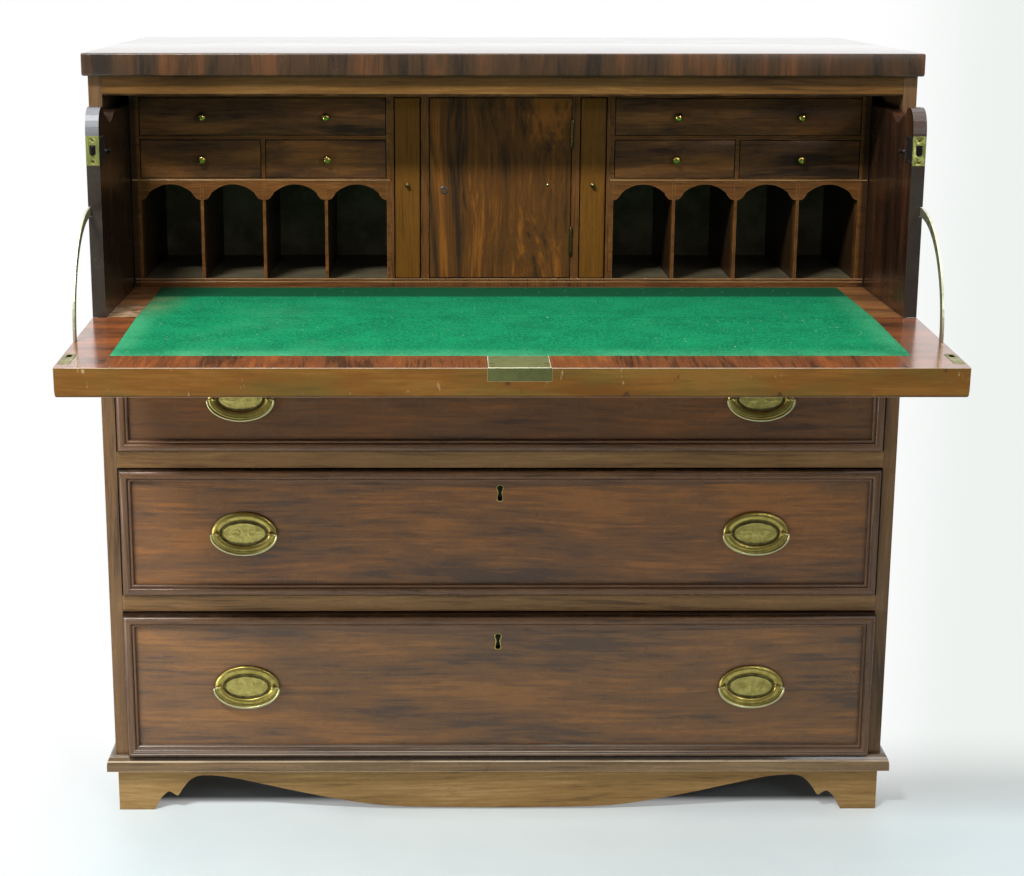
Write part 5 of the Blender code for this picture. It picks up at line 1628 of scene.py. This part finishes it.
@dataclass
class Cloth:
    """A laid piece of baize: a thin slab whose cut edges waver and whose nap is soft at the rim."""

    name: str
    node: str
    body: str
    half_width: float
    under: str
    length_cells: int = 26
    width_cells: int = 96

    def build(self, low: Place, high: Place, normal_axis: int, lay: Matrix, front: float) -> None:
        """Models the slab between two corners and lays it.

        Args:
            low: Its lowest corner before it is laid.
            high: Its highest corner before it is laid.
            normal_axis: The axis that its thickness runs along.
            lay: Takes it to its place.
            front: Where its front border lies along the chest's depth.
        """
        low, high = Vector(low), Vector(high)
        piece = Bench.block(self.name, low, high)
        size = high - low
        run = 2 if normal_axis == 1 else 1
        with Bench.editing(piece):
            for axis, cells in ((0, self.width_cells), (run, self.length_cells)):
                for step in range(1, cells):
                    place = Vector(low)
                    place[axis] += size[axis] * step / cells
                    normal = [0.0, 0.0, 0.0]
                    normal[axis] = 1.0
                    if step % (cells // 12 + 1) == 0 or step in (1, cells - 1):
                        Bench.pick_all()
                        bpy.ops.mesh.bisect(plane_co=place, plane_no=normal)
        for vertex in piece.data.vertices:
            for axis in (0, run):
                other = vertex.co[run if axis == 0 else 0]
                waver = 0.00009 * (1 + math.sin(other * 83.0 + axis) * math.sin(other * 37.0))
                if abs(vertex.co[axis] - low[axis]) < 1e-5:
                    vertex.co[axis] += waver
                elif abs(vertex.co[axis] - high[axis]) < 1e-5:
                    vertex.co[axis] -= waver
        Bench.ease(piece, 0.0003, 2)
        Bench.smooth(piece, 60.0)
        finish = Baize(f"{self.name}_felt", self.half_width, front)
        piece.data.materials.append(finish.material())
        piece.data.transform(lay)
        hand_over(piece, self.body, "green_baize", self.node)


@dataclass
class ScrewPattern:
    """A countersunk brass screw's head with its slot, modelled once and copied."""

    palette: Palette
    radius: float = 0.0027
    sunk: float = 0.00030
    ease: float = 1.06
    head: Piece | None = None

    def sink(self, plate: Piece, seat: Matrix, share: float = 1.0) -> None:
        """Cuts a head's seat into a plate, so that the head can lie below its face.

        Args:
            plate: The plate.
            seat: Takes the head's middle to its place on the plate's face, its top to +Y.
            share: The head's size against the pattern's.
        """
        hole = self.radius * self.ease
        tool = Bench.stack("seat", [(hole * 0.6, -0.0016), (hole, -0.0006), (hole, 0.0010)])
        tool.data.transform(seat @ Matrix.Scale(share, 4) @ rotation(-90.0, "X"))
        Bench.cut(plate, tool)

    def make(self) -> None:
        """Models the head, its top flush with +Z's zero but for a hair, facing +Y once set."""
        head = Bench.stack("screw", [
            (self.radius * 0.6, -0.0012), (self.radius, -0.0003), (self.radius, 0.00005),
            (self.radius * 0.93, 0.00016), (self.radius * 0.55, 0.00022),
        ])
        slot = Bench.block("slot", (-0.004, -0.00038, -0.0005), (0.004, 0.00038, 0.001))
        Bench.cut(head, slot)
        Bench.finish(head, self.palette.brass.material(), 40.0)
        head.data.transform(rotation(-90.0, "X"))
        self.head = head

    def set(
        self, name: str, body: str, seat: Matrix, turn: float, share: float = 1.0, sunk: float = 0.0,
    ) -> None:
        """Sets a copy whose head looks to the seat's +Y.

        Args:
            name: The screw's name.
            body: The body it rides on.
            seat: Takes the head's middle to its place.
            turn: How far its slot is turned.
            share: Its size against the pattern's.
            sunk: How far it lies below the face.
        """
        down = Matrix.Translation((0.0, -sunk, 0.0))
        move = seat @ down @ rotation(turn, "Y") @ Matrix.Scale(share, 4)
        hand_over(Bench.copy(self.head, name, move), body, "brass")


@dataclass
class SpringCatch:
    """A catch in a cheek: its face plate on the front edge and its iron case on the inner face."""

    side: Side
    palette: Palette
    level: float = 0.213
    plate_half: float = 0.0185
    plate_half_width: float = 0.0082
    proud: float = 0.00022
    screw_up: float = 0.0137
    screw_share: float = 0.8
    hole_half: float = 0.0060
    hole_half_width: float = 0.0041
    case_half: float = 0.0165
    case_back: float = 0.036
    tab_back: float = 0.042
    tab_down: float = 0.004

    def build(self) -> None:
        """Models the plate, the case, the thumb tab and the screws."""
        low, high = corners(f"cheek_{self.side.word}")
        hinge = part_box("writing_floor")[1][2]
        level = hinge + self.level
        middle = (low.x + high.x) / 2
        front = low.y
        plate = Bench.block(
            f"catch_plate_{self.side.word}",
            (middle - self.plate_half_width, front - self.proud, level - self.plate_half),
            (middle + self.plate_half_width, front + 0.0010, level + self.plate_half),
        )
        tool = Bench.block(
            "hole", (middle - self.hole_half_width, front - 0.003, level + 0.001 - self.hole_half),
            (middle + self.hole_half_width, front + 0.003, level + 0.001 + self.hole_half),
        )
        Bench.cut(plate, tool)
        turn = Matrix.Rotation(math.pi, 4, "Z")
        for number, up in enumerate((-self.screw_up, self.screw_up)):
            seat = Matrix.Translation((middle, front - self.proud, level + up)) @ turn
            SCREWS.sink(plate, seat, self.screw_share)
            name = f"catch_{self.side.word}_screw_{number + 1}"
            SCREWS.set(name, "writing_drawer", seat, 20.0 + 50.0 * number, self.screw_share, SCREWS.sunk)
        Bench.ease(plate, 0.00015, 2)
        Bench.finish(plate, self.palette.catch_brass.material())
        hand_over(plate, "writing_drawer", "brass")
        self.case(low, high, front, level)
        dress(f"catch_bolt_{self.side.word}", self.palette.bolt_in_shade.material())

    def case(self, low: Vector, high: Vector, front: float, level: float) -> None:
        """The catch's case, let into the cheek's inner face, with the tab that draws the bolt."""
        inner = high.x if self.side is Side.LEFT else low.x
        proud = -self.side.value * 0.0008
        ends = sorted((inner + proud, inner - proud))
        case = Bench.block(
            f"catch_case_{self.side.word}", (ends[0], front + 0.0006, level - self.case_half),
            (ends[1], front + self.case_back, level + self.case_half),
        )
        Bench.ease(case, 0.0005, 2)
        with Bench.editing(case):
            Bench.pick_faces(case, lambda place, normal: normal.x * -self.side.value > 0.9)
            bpy.ops.mesh.inset(thickness=0.0016, depth=-0.0003)
        Bench.finish(case, self.palette.iron.material())
        hand_over(case, "writing_drawer", "brass")
        tab = Bench.stack(f"catch_tab_{self.side.word}", [
            (0.0030, 0.0), (0.0024, 0.0012), (0.0020, 0.0040), (0.0030, 0.0052), (0.0032, 0.0064),
            (0.0022, 0.0074),
        ], 18)
        place = Matrix.Translation((inner + proud * 0.5, front + self.tab_back, level - self.tab_down))
        move = place @ rotation(-90.0 * self.side.value, "Y")
        fit_small(tab, "writing_drawer", self.palette.iron.material(), move, 50.0)


@dataclass
class WritingBed:
    """The writing drawer's floor and sides, its baize and its catches."""

    palette: Palette
    half: float = 0.475
    fit: float = 0.0003
    joint_line: float = 0.0014

    def build(self) -> None:
        """Dresses the drawer's boards, lays its baize and sets its catches."""
        palette = self.palette
        low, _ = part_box("writing_floor")

        def overlay(place: Value, normal: Value, under: Value) -> Value:
            """Paints pale glints on the floor beside the baize, at the left."""
            across, deep, _ = place.parts()
            left = across.span(-0.462, -0.482) * deep.span(-0.09, -0.17)
            glints = place.scaled((40.0, 90.0, 40.0)).noise(1.0, 4.0).span(0.40, 0.62)
            return under.under(left * (glints * 0.7), (0.80, 0.58, 0.36))

        # The bed's wood with painted glints at its left.
        highlit = Finish.variant(palette.bed.material(Grain.ACROSS, 3), "bed_painted_glints", overlay)
        joint = ((None, low[1], None), (None, None, None))
        dress("writing_floor", Finish.lined(highlit, "bed_polish", joint, self.joint_line, DARK_JOINT))
        dress("writing_back", palette.oak.material(Grain.ACROSS, 7))
        for side in Side:
            dress(f"cheek_{side.word}", self.cheek_finish(side))
            SpringCatch(side, palette).build()
        low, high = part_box("baize_bed")
        cloth = Cloth("baize_bed_cloth", "baize_bed", "writing_drawer", self.half - self.fit, "writing_floor")
        cloth.build(low, high, 2, Matrix.Identity(4), -10.0)

    def cheek_finish(self, side: Side) -> Material:
        """The cheeks' dark polish, rubbed grey on their front edges, with a painted highlight on their
        rounded tops and painted shade towards the back.
        """
        (_, front, _), (_, _, top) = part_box(f"cheek_{side.word}")

        def overlay(place: Value, normal: Value, under: Value) -> Value:
            """Greys the faces that look to the front, paints a highlight on the rounded tops and paints shade
            towards the back.
            """
            facing = normal.parts()[1] * -1.0
            at_front = place.parts()[1].span(front + 0.055, front + 0.001)
            rubbed = facing.span(0.2, 0.9) * at_front
            broken = place.noise(30.0, 4.0).span(0.25, 0.75, 0.55, 0.95)
            grey = under.under(rubbed * broken, (0.034, 0.028, 0.022))
            tall = place.parts()[2].span(top - 0.060, top - 0.012)
            # A pale bloom on the tops that look up and forward: a painted highlight.
            bloom = tall * at_front * facing.span(0.02, 0.2)
            share, tone = (0.45, (0.40, 0.42, 0.45)) if side is Side.LEFT else (0.35, (0.125, 0.066, 0.048))
            pale = grey.under(bloom * share, tone)
            # Painted shade towards the back, deeper on the left.
            behind = place.parts()[1].span(-0.16, 0.02, 0.0, 0.9 if side is Side.LEFT else 0.3)
            return pale.under(behind, SHADOW)

        base = self.palette.cheek.material(Grain.UPRIGHT, 10 + side.value)
        return Finish.variant(base, f"cheek_{side.word}_polish", overlay)


@dataclass
class GalleryDrawer:
    """A small open-topped drawer with a polished front and turned brass knobs."""

    node: str
    finish: Material
    inside: Material
    knob: Piece
    knob_length: float
    knobs: tuple[Pair, ...]
    wall: float = 0.005
    front_thick: float = 0.008
    bottom: float = 0.004
    side_round: float = 0.0006
    edge_round: float = 0.0006

    def build(self) -> None:
        """Models the drawer and sets its knobs."""
        low, high = corners(self.node)
        front = low.y + self.knob_length
        drawer = Bench.block(f"{self.node}_fine", (low.x, front, low.z), high)
        with Bench.editing(drawer):
            Bench.pick_faces(drawer, lambda middle, normal: normal.z > 0.9)
            bpy.ops.mesh.inset(thickness=self.wall)
            mesh = bmesh.from_edit_mesh(drawer.data)
            for vertex in mesh.verts:
                if vertex.select and vertex.co.y < front + 0.05:
                    vertex.co.y += self.front_thick - self.wall
            bmesh.update_edit_mesh(drawer.data)
            Bench.draw_out(0.0, 0.0, low.z + self.bottom - high.z)
        with Bench.editing(drawer, "EDGE"):
            passes = ((self.side_round, 6, 0.001, 1.0), (self.edge_round, 3, -1.0, 0.0001))
            for width, segments, low_tall, high_tall in passes:
                Bench.bevel_edges(
                    drawer, width, segments,
                    lambda a, b: max(a.y, b.y) < front + 0.0001 and low_tall < abs(a.z - b.z) < high_tall,
                )
        Bench.smooth(drawer)
        Bench.face(drawer, lambda polygon: int(polygon.center.y > front + 0.003), self.finish, self.inside)
        slot = "mahogany_dark" if self.node.startswith("long") else "mahogany_golden"
        hand_over(drawer, self.node, slot, self.node)
        middle = (low + high) / 2
        for number, (across, share) in enumerate(self.knobs):
            height = low.z + (high.z - low.z) * share
            move = Matrix.Translation((middle.x + across, front, height)) @ FACING_FRONT
            knob = Bench.copy(self.knob, f"{self.node}_knob_{number + 1}", move)
            hand_over(knob, self.node, "brass")


@dataclass
class Gallery:
    """The pigeonholes, small drawers, document slides and the door between them."""

    palette: Palette
    knob_radius: float = 0.0060
    knob_length: float = 0.0125
    long_knob: float = 0.0855
    knob_shift: float = 0.0022
    pull_length: float = 0.006
    case_fit: float = 0.0003
    roof: float = 0.1473
    shelf: float = 0.005
    bead: float = 0.0012
    foot_bead: float = 0.0008
    foot_levels: Pair = (0.0068, 0.0110)
    outline: float = 0.0012
    slide_outline: float = 0.0016
    door_outline: float = 0.0020
    socket_at: Pair = (-0.0785, 0.8855)
    pin_at: Pair = (0.0664, 0.8925)
    hinge_levels: Pair = (0.8134, 0.9634)
    hinge_half: float = 0.019
    hinge_radius: float = 0.0024

    def build(self) -> None:
        """Dresses the cases, models the drawers and fits the door."""
        palette = self.palette
        knob = self.knob()
        pull = self.pull()
        for side in Side:
            dress(f"pigeonholes_{side.word}", self.shade_and_dust(side))
            inside = palette.oak.material(Grain.DEEP, 22 + side.value)
            node = f"long_drawer_{side.word}"
            base = palette.small_drawer.material(Grain.ACROSS, 30 + side.value)
            finish = self.outlined(node, base, self.outline)
            knobs = tuple((sign * self.long_knob + self.knob_shift, 0.5) for sign in (-1, 1))
            GalleryDrawer(node, finish, inside, knob, self.knob_length, knobs).build()
            for number in (1, 2):
                node = f"small_drawer_{side.word}_{number}"
                base = palette.small_drawer.material(Grain.ACROSS, 34 + side.value * number)
                finish = self.outlined(node, base, self.outline)
                GalleryDrawer(node, finish, inside, knob, self.knob_length, ((self.knob_shift, 0.5),)).build()
            node = f"document_slide_{side.word}"
            base = palette.slide.material(Grain.UPRIGHT, 40 + side.value)
            GalleryDrawer(
                node, self.outlined(node, base, self.slide_outline), inside, pull, self.pull_length,
                ((0.0, 0.52),), wall=0.004, side_round=0.0035,
            ).build()
        self.beads()
        Bench.scrap(knob, pull)
        dress("centre_case", palette.gallery.material(Grain.UPRIGHT, 45))
        flame = palette.flame.material(Grain.UPRIGHT, 3)
        dress("prospect_door", self.outlined("prospect_door", flame, self.door_outline))
        self.door_fittings()

    def outlined(self, node: str, base: Material, width: float) -> Material:
        """A finish with a painted shadow line where the node meets the gap round it."""
        low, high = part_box(node)
        outline = ((low[0], None, low[2]), (high[0], None, high[2]))
        return Finish.lined(base, f"{node}_polish", outline, width, SHADOW)

    def shade_and_dust(self, side: Side) -> Material:
        """The bank's polish, with painted shade inside the holes, painted bounce light on their back walls,
        dust and painted sheen on the floors, and a painted shadow along the outer edge.
        """
        low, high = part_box(f"pigeonholes_{side.word}")
        front, outer = low[1], max(-low[0], high[0])

        def overlay(place: Value, normal: Value, under: Value) -> Value:
            """Paints shade inside, bounce light on the back walls, dust and sheen on what looks up, and
            shadow at the outer edge.
            """
            inside = place.parts()[1].span(front + 0.006, front + 0.03)
            upward = normal.parts()[2].span(0.5, 0.9)
            streaky = place.noise(24.0, 4.0).span(0.25, 0.75, 0.55, 1.0)
            backward = abs(normal.parts()[1]).span(0.5, 0.9)
            # Painted shade inside the holes.
            dark = under.under(inside * 0.88, (0.022, 0.014, 0.007))
            patchy = place.noise(14.0, 5.0, 0.65).span(0.38, 0.66, 0.45, 1.0)
            share = inside * backward * patchy
            # Painted bounce light on the back walls, in patches.
            bounce_light = dark.under(share, (0.42, 0.38, 0.22))
            # Dust on what looks up, its grey also painting the floors' sheen.
            dust = upward * inside * streaky
            dust_and_sheen = bounce_light.under(dust, (0.150, 0.128, 0.078))
            # A painted shadow along the bank's outer edge, beside the cheek.
            aside = abs(place.parts()[0])
            return dust_and_sheen.under(aside.span(outer - 0.009, outer - 0.007, 0.0, 0.7), (0.014, 0.009, 0.006))

        base = self.palette.gallery.material(Grain.ACROSS, 20 + side.value)
        return Finish.variant(base, f"pigeonhole_{side.word}_polish", overlay)

    def beads(self) -> None:
        """The pale beads along the shelves over the arches and along the whole gallery's foot."""
        banks = [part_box(f"pigeonholes_{side.word}") for side in Side]
        foot = banks[0][0][2] - self.case_fit
        runs = [(bank[0][0], bank[1][0], foot + self.roof + self.shelf / 2, self.bead) for bank in banks]
        runs += [(banks[0][0][0], banks[1][1][0], foot + level, self.foot_bead) for level in self.foot_levels]
        front = banks[0][0][1]
        for number, (start, end, level, half) in enumerate(runs):
            bead = Bench.block(
                f"bead_{number + 1}", (start + 0.0008, front - 0.0007, level - half),
                (end - 0.0008, front + 0.0012, level + half),
            )
            with Bench.editing(bead, "EDGE"):
                Bench.bevel_edges(
                    bead, half * 0.95, 5, lambda a, b: max(a.y, b.y) < front and abs(a.z - b.z) < 0.0001
                )
            Bench.finish(bead, self.palette.string.material(Grain.ACROSS, 80 + number), 50.0)
            hand_over(bead, "writing_drawer", "mahogany_golden")

    def knob(self) -> Piece:
        """A turned knob: a flared foot, a neck and a flattened ball."""
        radius, length = self.knob_radius, self.knob_length
        rings = [
            (0.0034, -0.0010), (0.0036, 0.0), (0.0036, 0.0009), (0.0025, 0.0018), (0.0021, 0.0030),
            (0.0024, 0.0044),
        ]
        centre, half = length - 0.0042, 0.0042
        for half_turn in arc(180.0, 13)[1:-1]:
            turn = half_turn - math.radians(90.0)
            rings.append((radius * math.cos(turn) ** 0.9, centre + half * math.sin(turn)))
        knob = Bench.stack("knob", rings, 28)
        Bench.finish(knob, self.palette.knob_brass.material(), 50.0)
        return knob

    def pull(self) -> Piece:
        """A document slide's small brass pull."""
        rings = [
            (0.0030, -0.0008), (0.0032, 0.0006), (0.0016, 0.0014), (0.0015, 0.0026), (0.0026, 0.0036),
            (0.0030, 0.0046), (0.0024, 0.0056), (0.0010, 0.0060),
        ]
        pull = Bench.stack("pull", rings, 20)
        Bench.finish(pull, self.palette.dark_brass.material(), 50.0)
        return pull

    def door_fittings(self) -> None:
        """The door's key socket, its pin and its two butt hinges."""
        low, high = corners("prospect_door")
        front = low.y
        socket = Bench.stack("door_key_socket", [
            (0.0052, -0.0008), (0.0052, 0.0006), (0.0046, 0.0011), (0.0037, 0.0011), (0.0032, 0.0006),
            (0.0031, -0.0004),
        ], 32)
        Bench.smooth(socket, 40.0)
        across, level = self.socket_at
        socket.data.transform(Matrix.Translation((across, front, level)) @ FACING_FRONT)
        iron, steel = self.palette.iron.material(), self.palette.steel.material()
        Bench.face(socket, lambda polygon: int(polygon.center.y > front - 0.0002), steel, iron)
        hand_over(socket, "prospect_door", "brass")
        rings = [(0.0020, -0.0006), (0.0021, 0.0005), (0.0016, 0.0012), (0.0007, 0.0015)]
        pin = Bench.stack("door_pin", rings, 20)
        across, level = self.pin_at
        move = Matrix.Translation((across, front, level)) @ FACING_FRONT
        fit_small(pin, "prospect_door", self.palette.bail_brass.material(), move, 50.0)
        for number, level in enumerate(self.hinge_levels):
            self.butt(number + 1, Vector((high.x, front, level)))

    def butt(self, number: int, place: Vector) -> None:
        """A butt hinge: five knuckles on its pin at the door's edge, and the leaf let into the door."""
        half, radius = self.hinge_half, self.hinge_radius
        rings = [(radius * 0.6, -half - 0.0012), (radius * 0.9, -half - 0.0006), (radius, -half)]
        for knuckle in range(1, 5):
            level = -half + 2 * half * knuckle / 5
            rings += [
                (radius, level - 0.0003), (radius * 0.82, level - 0.0002), (radius * 0.82, level + 0.0002),
                (radius, level + 0.0003),
            ]
        rings += [(radius, half), (radius * 0.9, half + 0.0006), (radius * 0.6, half + 0.0012)]
        barrel = Bench.stack(f"door_hinge_{number}", rings, 16)
        leaf = Bench.block("leaf", (-0.0012, -0.0002, -half), (0.0, 0.0108, half))
        Bench.ease(leaf, 0.0002, 2)
        hinge = Bench.join(f"door_hinge_{number}", [barrel, leaf])
        move = Matrix.Translation(place + Vector((0.0003, -0.0004, 0.0)))
        fit_small(hinge, "prospect_door", self.palette.dark_brass.material(), move, 40.0)


@dataclass
class Carcase:
    """The chest's case: crossbanded top, sides, rails, back, base moulding and plinth."""

    palette: Palette
    top_round: float = 0.003
    shaded: float = 0.011
    foot_shadow: float = 0.003

    def build(self) -> None:
        """Models the top and dresses the other boards."""
        palette = self.palette
        self.top()
        for side in Side:
            dress(f"side_{side.word}", palette.side.material(Grain.UPRIGHT, 50 + side.value))
            dress(f"plinth_{side.word}", palette.plinth.material(Grain.DEEP, 52 + side.value))
        dress("top_rail", self.top_rail())
        for number, word in enumerate(("upper", "middle", "lower")):
            dress(f"dust_frame_{word}", palette.rail.material(Grain.ACROSS, 55 + number))
        dress("bottom_board", palette.oak.material(Grain.ACROSS, 58))
        dress("back_panel", palette.oak.material(Grain.UPRIGHT, 59))
        dress("base_moulding", self.base_moulding())
        dress("plinth_front", palette.plinth.material(Grain.ACROSS, 61))

    def base_moulding(self) -> Material:
        """The base moulding's polish: painted shade under the lowest drawer above, a painted highlight line
        along the swell, and gold below.
        """
        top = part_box("base_moulding")[1][2]

        def overlay(place: Value, normal: Value, under: Value) -> Value:
            """Paints shade on the upper part under the drawer and a highlight line along the swell."""
            across, deep, up = place.parts()
            drawer = abs(across).span(0.530, 0.520)
            shaded = up.span(top - 0.0072, top - 0.0056) * deep.span(0.02, 0.0)
            shaded = shaded * (0.25 + drawer * 0.65)
            dark = under.under(shaded, (0.022, 0.013, 0.009))
            # A painted highlight along the swell, broken in patches.
            off = abs(up - (top - 0.0086))
            highlit = place.scaled((9.0, 9.0, 60.0)).noise(1.0, 4.0).span(0.3, 0.6, 0.35, 0.9)
            line = off.span(0.0014, 0.0005) * highlit
            return dark.under(line, (0.66, 0.52, 0.38))

        return Finish.variant(self.palette.base.material(Grain.ACROSS, 60), "base_moulding_polish", overlay)

    def top_rail(self) -> Material:
        """The top rail's gold, with painted shade where the top overhangs it and a painted shadow line along
        its lower edge.
        """
        low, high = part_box("top_rail")

        def overlay(place: Value, normal: Value, under: Value) -> Value:
            """Paints shade on the rail's upper part."""
            up = place.parts()[2]
            share = up.span(high[2] - self.shaded - 0.002, high[2] - self.shaded + 0.002, 0.0, 0.20)
            return under.under(share, (0.030, 0.024, 0.020))

        base = Finish.variant(self.palette.rail_gold.material(Grain.ACROSS, 54), "top_rail_shaded", overlay)
        foot = ((None, None, low[2]), (None, None, None))
        return Finish.lined(base, "top_rail_polish", foot, self.foot_shadow, (0.008, 0.005, 0.003))

    def top(self) -> None:
        """The top board, its edges crossbanded and eased."""
        low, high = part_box("top_board")
        top = Bench.block("top_board_fine", low, high)
        Bench.ease(top, self.top_round, 5)
        Bench.smooth(top, 40.0)

        def choose(polygon: Facet) -> int:
            """Top face, front edge, side edge or underside."""
            normal = polygon.normal
            if normal.z > 0.72:
                return 0
            if normal.z < -0.9:
                return 3
            return 1 if abs(normal.y) > abs(normal.x) else 2

        Bench.face(
            top, choose, self.palette.top_face.material(Grain.ACROSS, 70),
            self.palette.top_edge.material(Grain.UPRIGHT, 1),
            self.palette.top_edge.material(Grain.UPRIGHT, 2), self.palette.side.material(Grain.ACROSS, 71),
        )
        hand_over(top, "carcase", "mahogany_flame", "top_board")


@dataclass(frozen=True)
class Lamp:
    """A soft rectangular lamp: where it hangs, where it looks, its power and its size."""

    name: str
    place: Place
    aim: Place
    watts: float
    wide: float
    tall: float

    def build(self) -> None:
        """Hangs the lamp."""
        data = bpy.data.lights.new(self.name, "AREA")
        data.shape, data.size, data.size_y, data.energy = "RECTANGLE", self.wide, self.tall, self.watts
        lamp = bpy.data.objects.new(self.name, data)
        away = Vector(self.place) - Vector(self.aim)
        lamp.matrix_world = Matrix.Translation(self.place) @ away.to_track_quat("Z", "Y").to_matrix().to_4x4()
        bpy.context.scene.collection.objects.link(lamp)


@dataclass
class Studio:
    """The camera at the photograph's place, plain soft light and a pale floor."""

    camera_at: Place = (-0.0842, -2.7055, 1.1918)
    yaw: float = -0.3875
    pitch: float = -13.601
    roll: float = 0.073
    lens: float = 68.875
    shift: float = 0.0579
    fill: float = 0.31
    paper_grey: Colour = (0.86, 0.895, 0.87)
    paper_turn: Pair = (0.215, 0.285)
    paper_front: Pair = (-1.20, -1.75)
    floor_shade: Colour = (0.190, 0.225, 0.250)
    lamps: tuple[Lamp, ...] = (
        Lamp("key", (-1.29, -2.08, 3.23), (0.0, -0.1, 0.75), 117.0, 0.9, 0.10),
        Lamp("second", (1.43, -2.79, 1.74), (0.0, -0.1, 0.75), 11.0, 0.9, 0.25),
        Lamp("overhead", (-0.10, -0.31, 3.08), (-0.10, -0.30, 0.75), 15.0, 1.2, 0.36),
        Lamp("window", (-1.60, -1.15, 0.28), (0.0, -0.1, 0.25), 12.0, 0.9, 0.4),
    )

    def build(self) -> None:
        """Sets up the whole studio."""
        self.camera()
        self.world()
        for lamp in self.lamps:
            lamp.build()
        self.floor()
        bpy.context.scene.view_settings.view_transform = "Standard"

    def camera(self) -> None:
        """The camera, with the shift that the photograph's framing needs."""
        data = bpy.data.cameras.new("camera")
        data.lens, data.sensor_width, data.sensor_fit = self.lens, 36.0, "HORIZONTAL"
        data.shift_x = self.shift
        camera = bpy.data.objects.new("camera", data)
        turn = rotation(self.yaw, "Z") @ rotation(90.0 + self.pitch, "X")
        camera.matrix_world = Matrix.Translation(self.camera_at) @ turn @ rotation(self.roll, "Z")
        bpy.context.scene.collection.objects.link(camera)
        bpy.context.scene.camera = camera

    def world(self) -> None:
        """White around the chest for the eye and for gloss, darker towards the room in front, plain fill."""
        world = bpy.data.worlds.new("studio")
        bpy.context.scene.world = world
        world.use_nodes = True
        world.node_tree.nodes.clear()
        sheet = NodeSheet(world.node_tree)
        rays = sheet.outputs(sheet.add("ShaderNodeLightPath"))
        across, ahead, up = sheet.read("ShaderNodeTexCoord", "Generated").parts()
        seen = sheet.blend(ahead.span(-0.20, -0.70), (1.0, 1.0, 1.0), (0.12, 0.12, 0.125))
        seen = seen.under(up.span(0.45, 0.85), (1.9, 2.0, 2.1))
        glossy, white, plain = (
            sheet.read("ShaderNodeBackground", 0, {"Color": colour, "Strength": strength})
            for colour, strength in (
                (seen, 1.0), (self.paper(across, ahead), 1.0), ((0.97, 0.985, 1.0), self.fill),
            )
        )
        gloss = sheet.sum("MAXIMUM", rays["Is Glossy Ray"], rays["Is Transmission Ray"])
        unseen = sheet.read("ShaderNodeMixShader", 0, {0: gloss, 1: plain, 2: glossy})
        mixed = sheet.read("ShaderNodeMixShader", 0, {0: rays["Is Camera Ray"], 1: unseen, 2: white})
        sheet.add("ShaderNodeOutputWorld", {0: mixed})

    def paper(self, across: Value, ahead: Value) -> Value:
        """The backdrop's colour: white, and a little grey at the far right."""
        turn = (across / ahead).span(*self.paper_turn) * ahead.span(0.05, 0.6)
        return across.sheet.blend(turn, (1.0, 1.0, 1.0), self.paper_grey)

    def floor(self) -> None:
        """A pale paper floor that fades to white away from the chest, with a painted shadow under it."""
        Bench.clear()
        bpy.ops.mesh.primitive_grid_add(x_subdivisions=12, y_subdivisions=12, size=16.0)
        floor = Bench.settle("studio_floor")
        material, sheet, shader, place = Finish.open("paper_floor")
        across, deep, _ = place.parts()
        crease = place.noise(3.0, 4.0, 0.6)
        colour = sheet.blend(crease.span(0.3, 0.7), (0.77, 0.88, 0.895), (0.82, 0.915, 0.92))
        # A painted shadow on the floor under the chest.
        under = deep.span(-0.050, -0.022) * deep.span(0.48, 0.42) * abs(across).span(0.53, 0.50)
        sheet.fill(shader, {"Base Color": colour.under(under, self.floor_shade), "Roughness": 0.55})
        Finish.emboss(sheet, shader, crease, 0.004)
        reach = sheet.sum("SQRT", across * across + deep * deep)
        far = sheet.sum("MAXIMUM", reach.span(0.95, 2.3), deep.span(-0.20, 0.25))
        far = sheet.sum("MAXIMUM", far, across.span(-0.46, -0.72))
        rays = sheet.outputs(sheet.add("ShaderNodeLightPath"))
        left, near, _ = self.camera_at
        white, dark = (
            sheet.read("ShaderNodeEmission", 0, {"Color": tint, "Strength": 1.0})
            for tint in (self.paper(across - left, deep - near), (0.06, 0.06, 0.06))
        )
        seen = far * (1.0 - under) * rays["Is Camera Ray"]
        beyond = deep.span(*self.paper_front) * rays["Is Glossy Ray"]
        mixed = Value(sheet, shader.outputs[0])
        for share, over in ((seen, white), (beyond, dark)):
            mixed = sheet.read("ShaderNodeMixShader", 0, {0: share, 1: mixed, 2: over})
        sheet.feed(material.node_tree.nodes["Material Output"].inputs["Surface"], mixed)
        floor.data.materials.append(material)


KEYHOLES: dict[int, float] = {1: 0.0, 2: -0.0004, 3: -0.0021}
PALETTE = Palette()
SCREWS = ScrewPattern(PALETTE)


def main() -> None:
    """Builds the chest's sub-assemblies in order."""
    logging.basicConfig(level=logging.INFO, format="%(name)s: %(message)s")
    Studio().build()
    SCREWS.make()
    moulding = FrameMoulding()
    handles = HandlePattern()
    handles.make(PALETTE)
    Carcase(PALETTE).build()
    for number, keyhole in KEYHOLES.items():
        LongDrawer(number, moulding, handles, PALETTE, keyhole_x=keyhole, reed_highlights=number == 3).build()
    WritingBed(PALETTE).build()
    Gallery(PALETTE).build()
    Fall(FrameMoulding(fillet=0.0055, ovolo=0.0035, flat=0.0051), handles, PALETTE).build()
    Bench.scrap(handles.plate, handles.bail, SCREWS.head)
    Bench.clear()


if __name__ == "__main__":
    main()
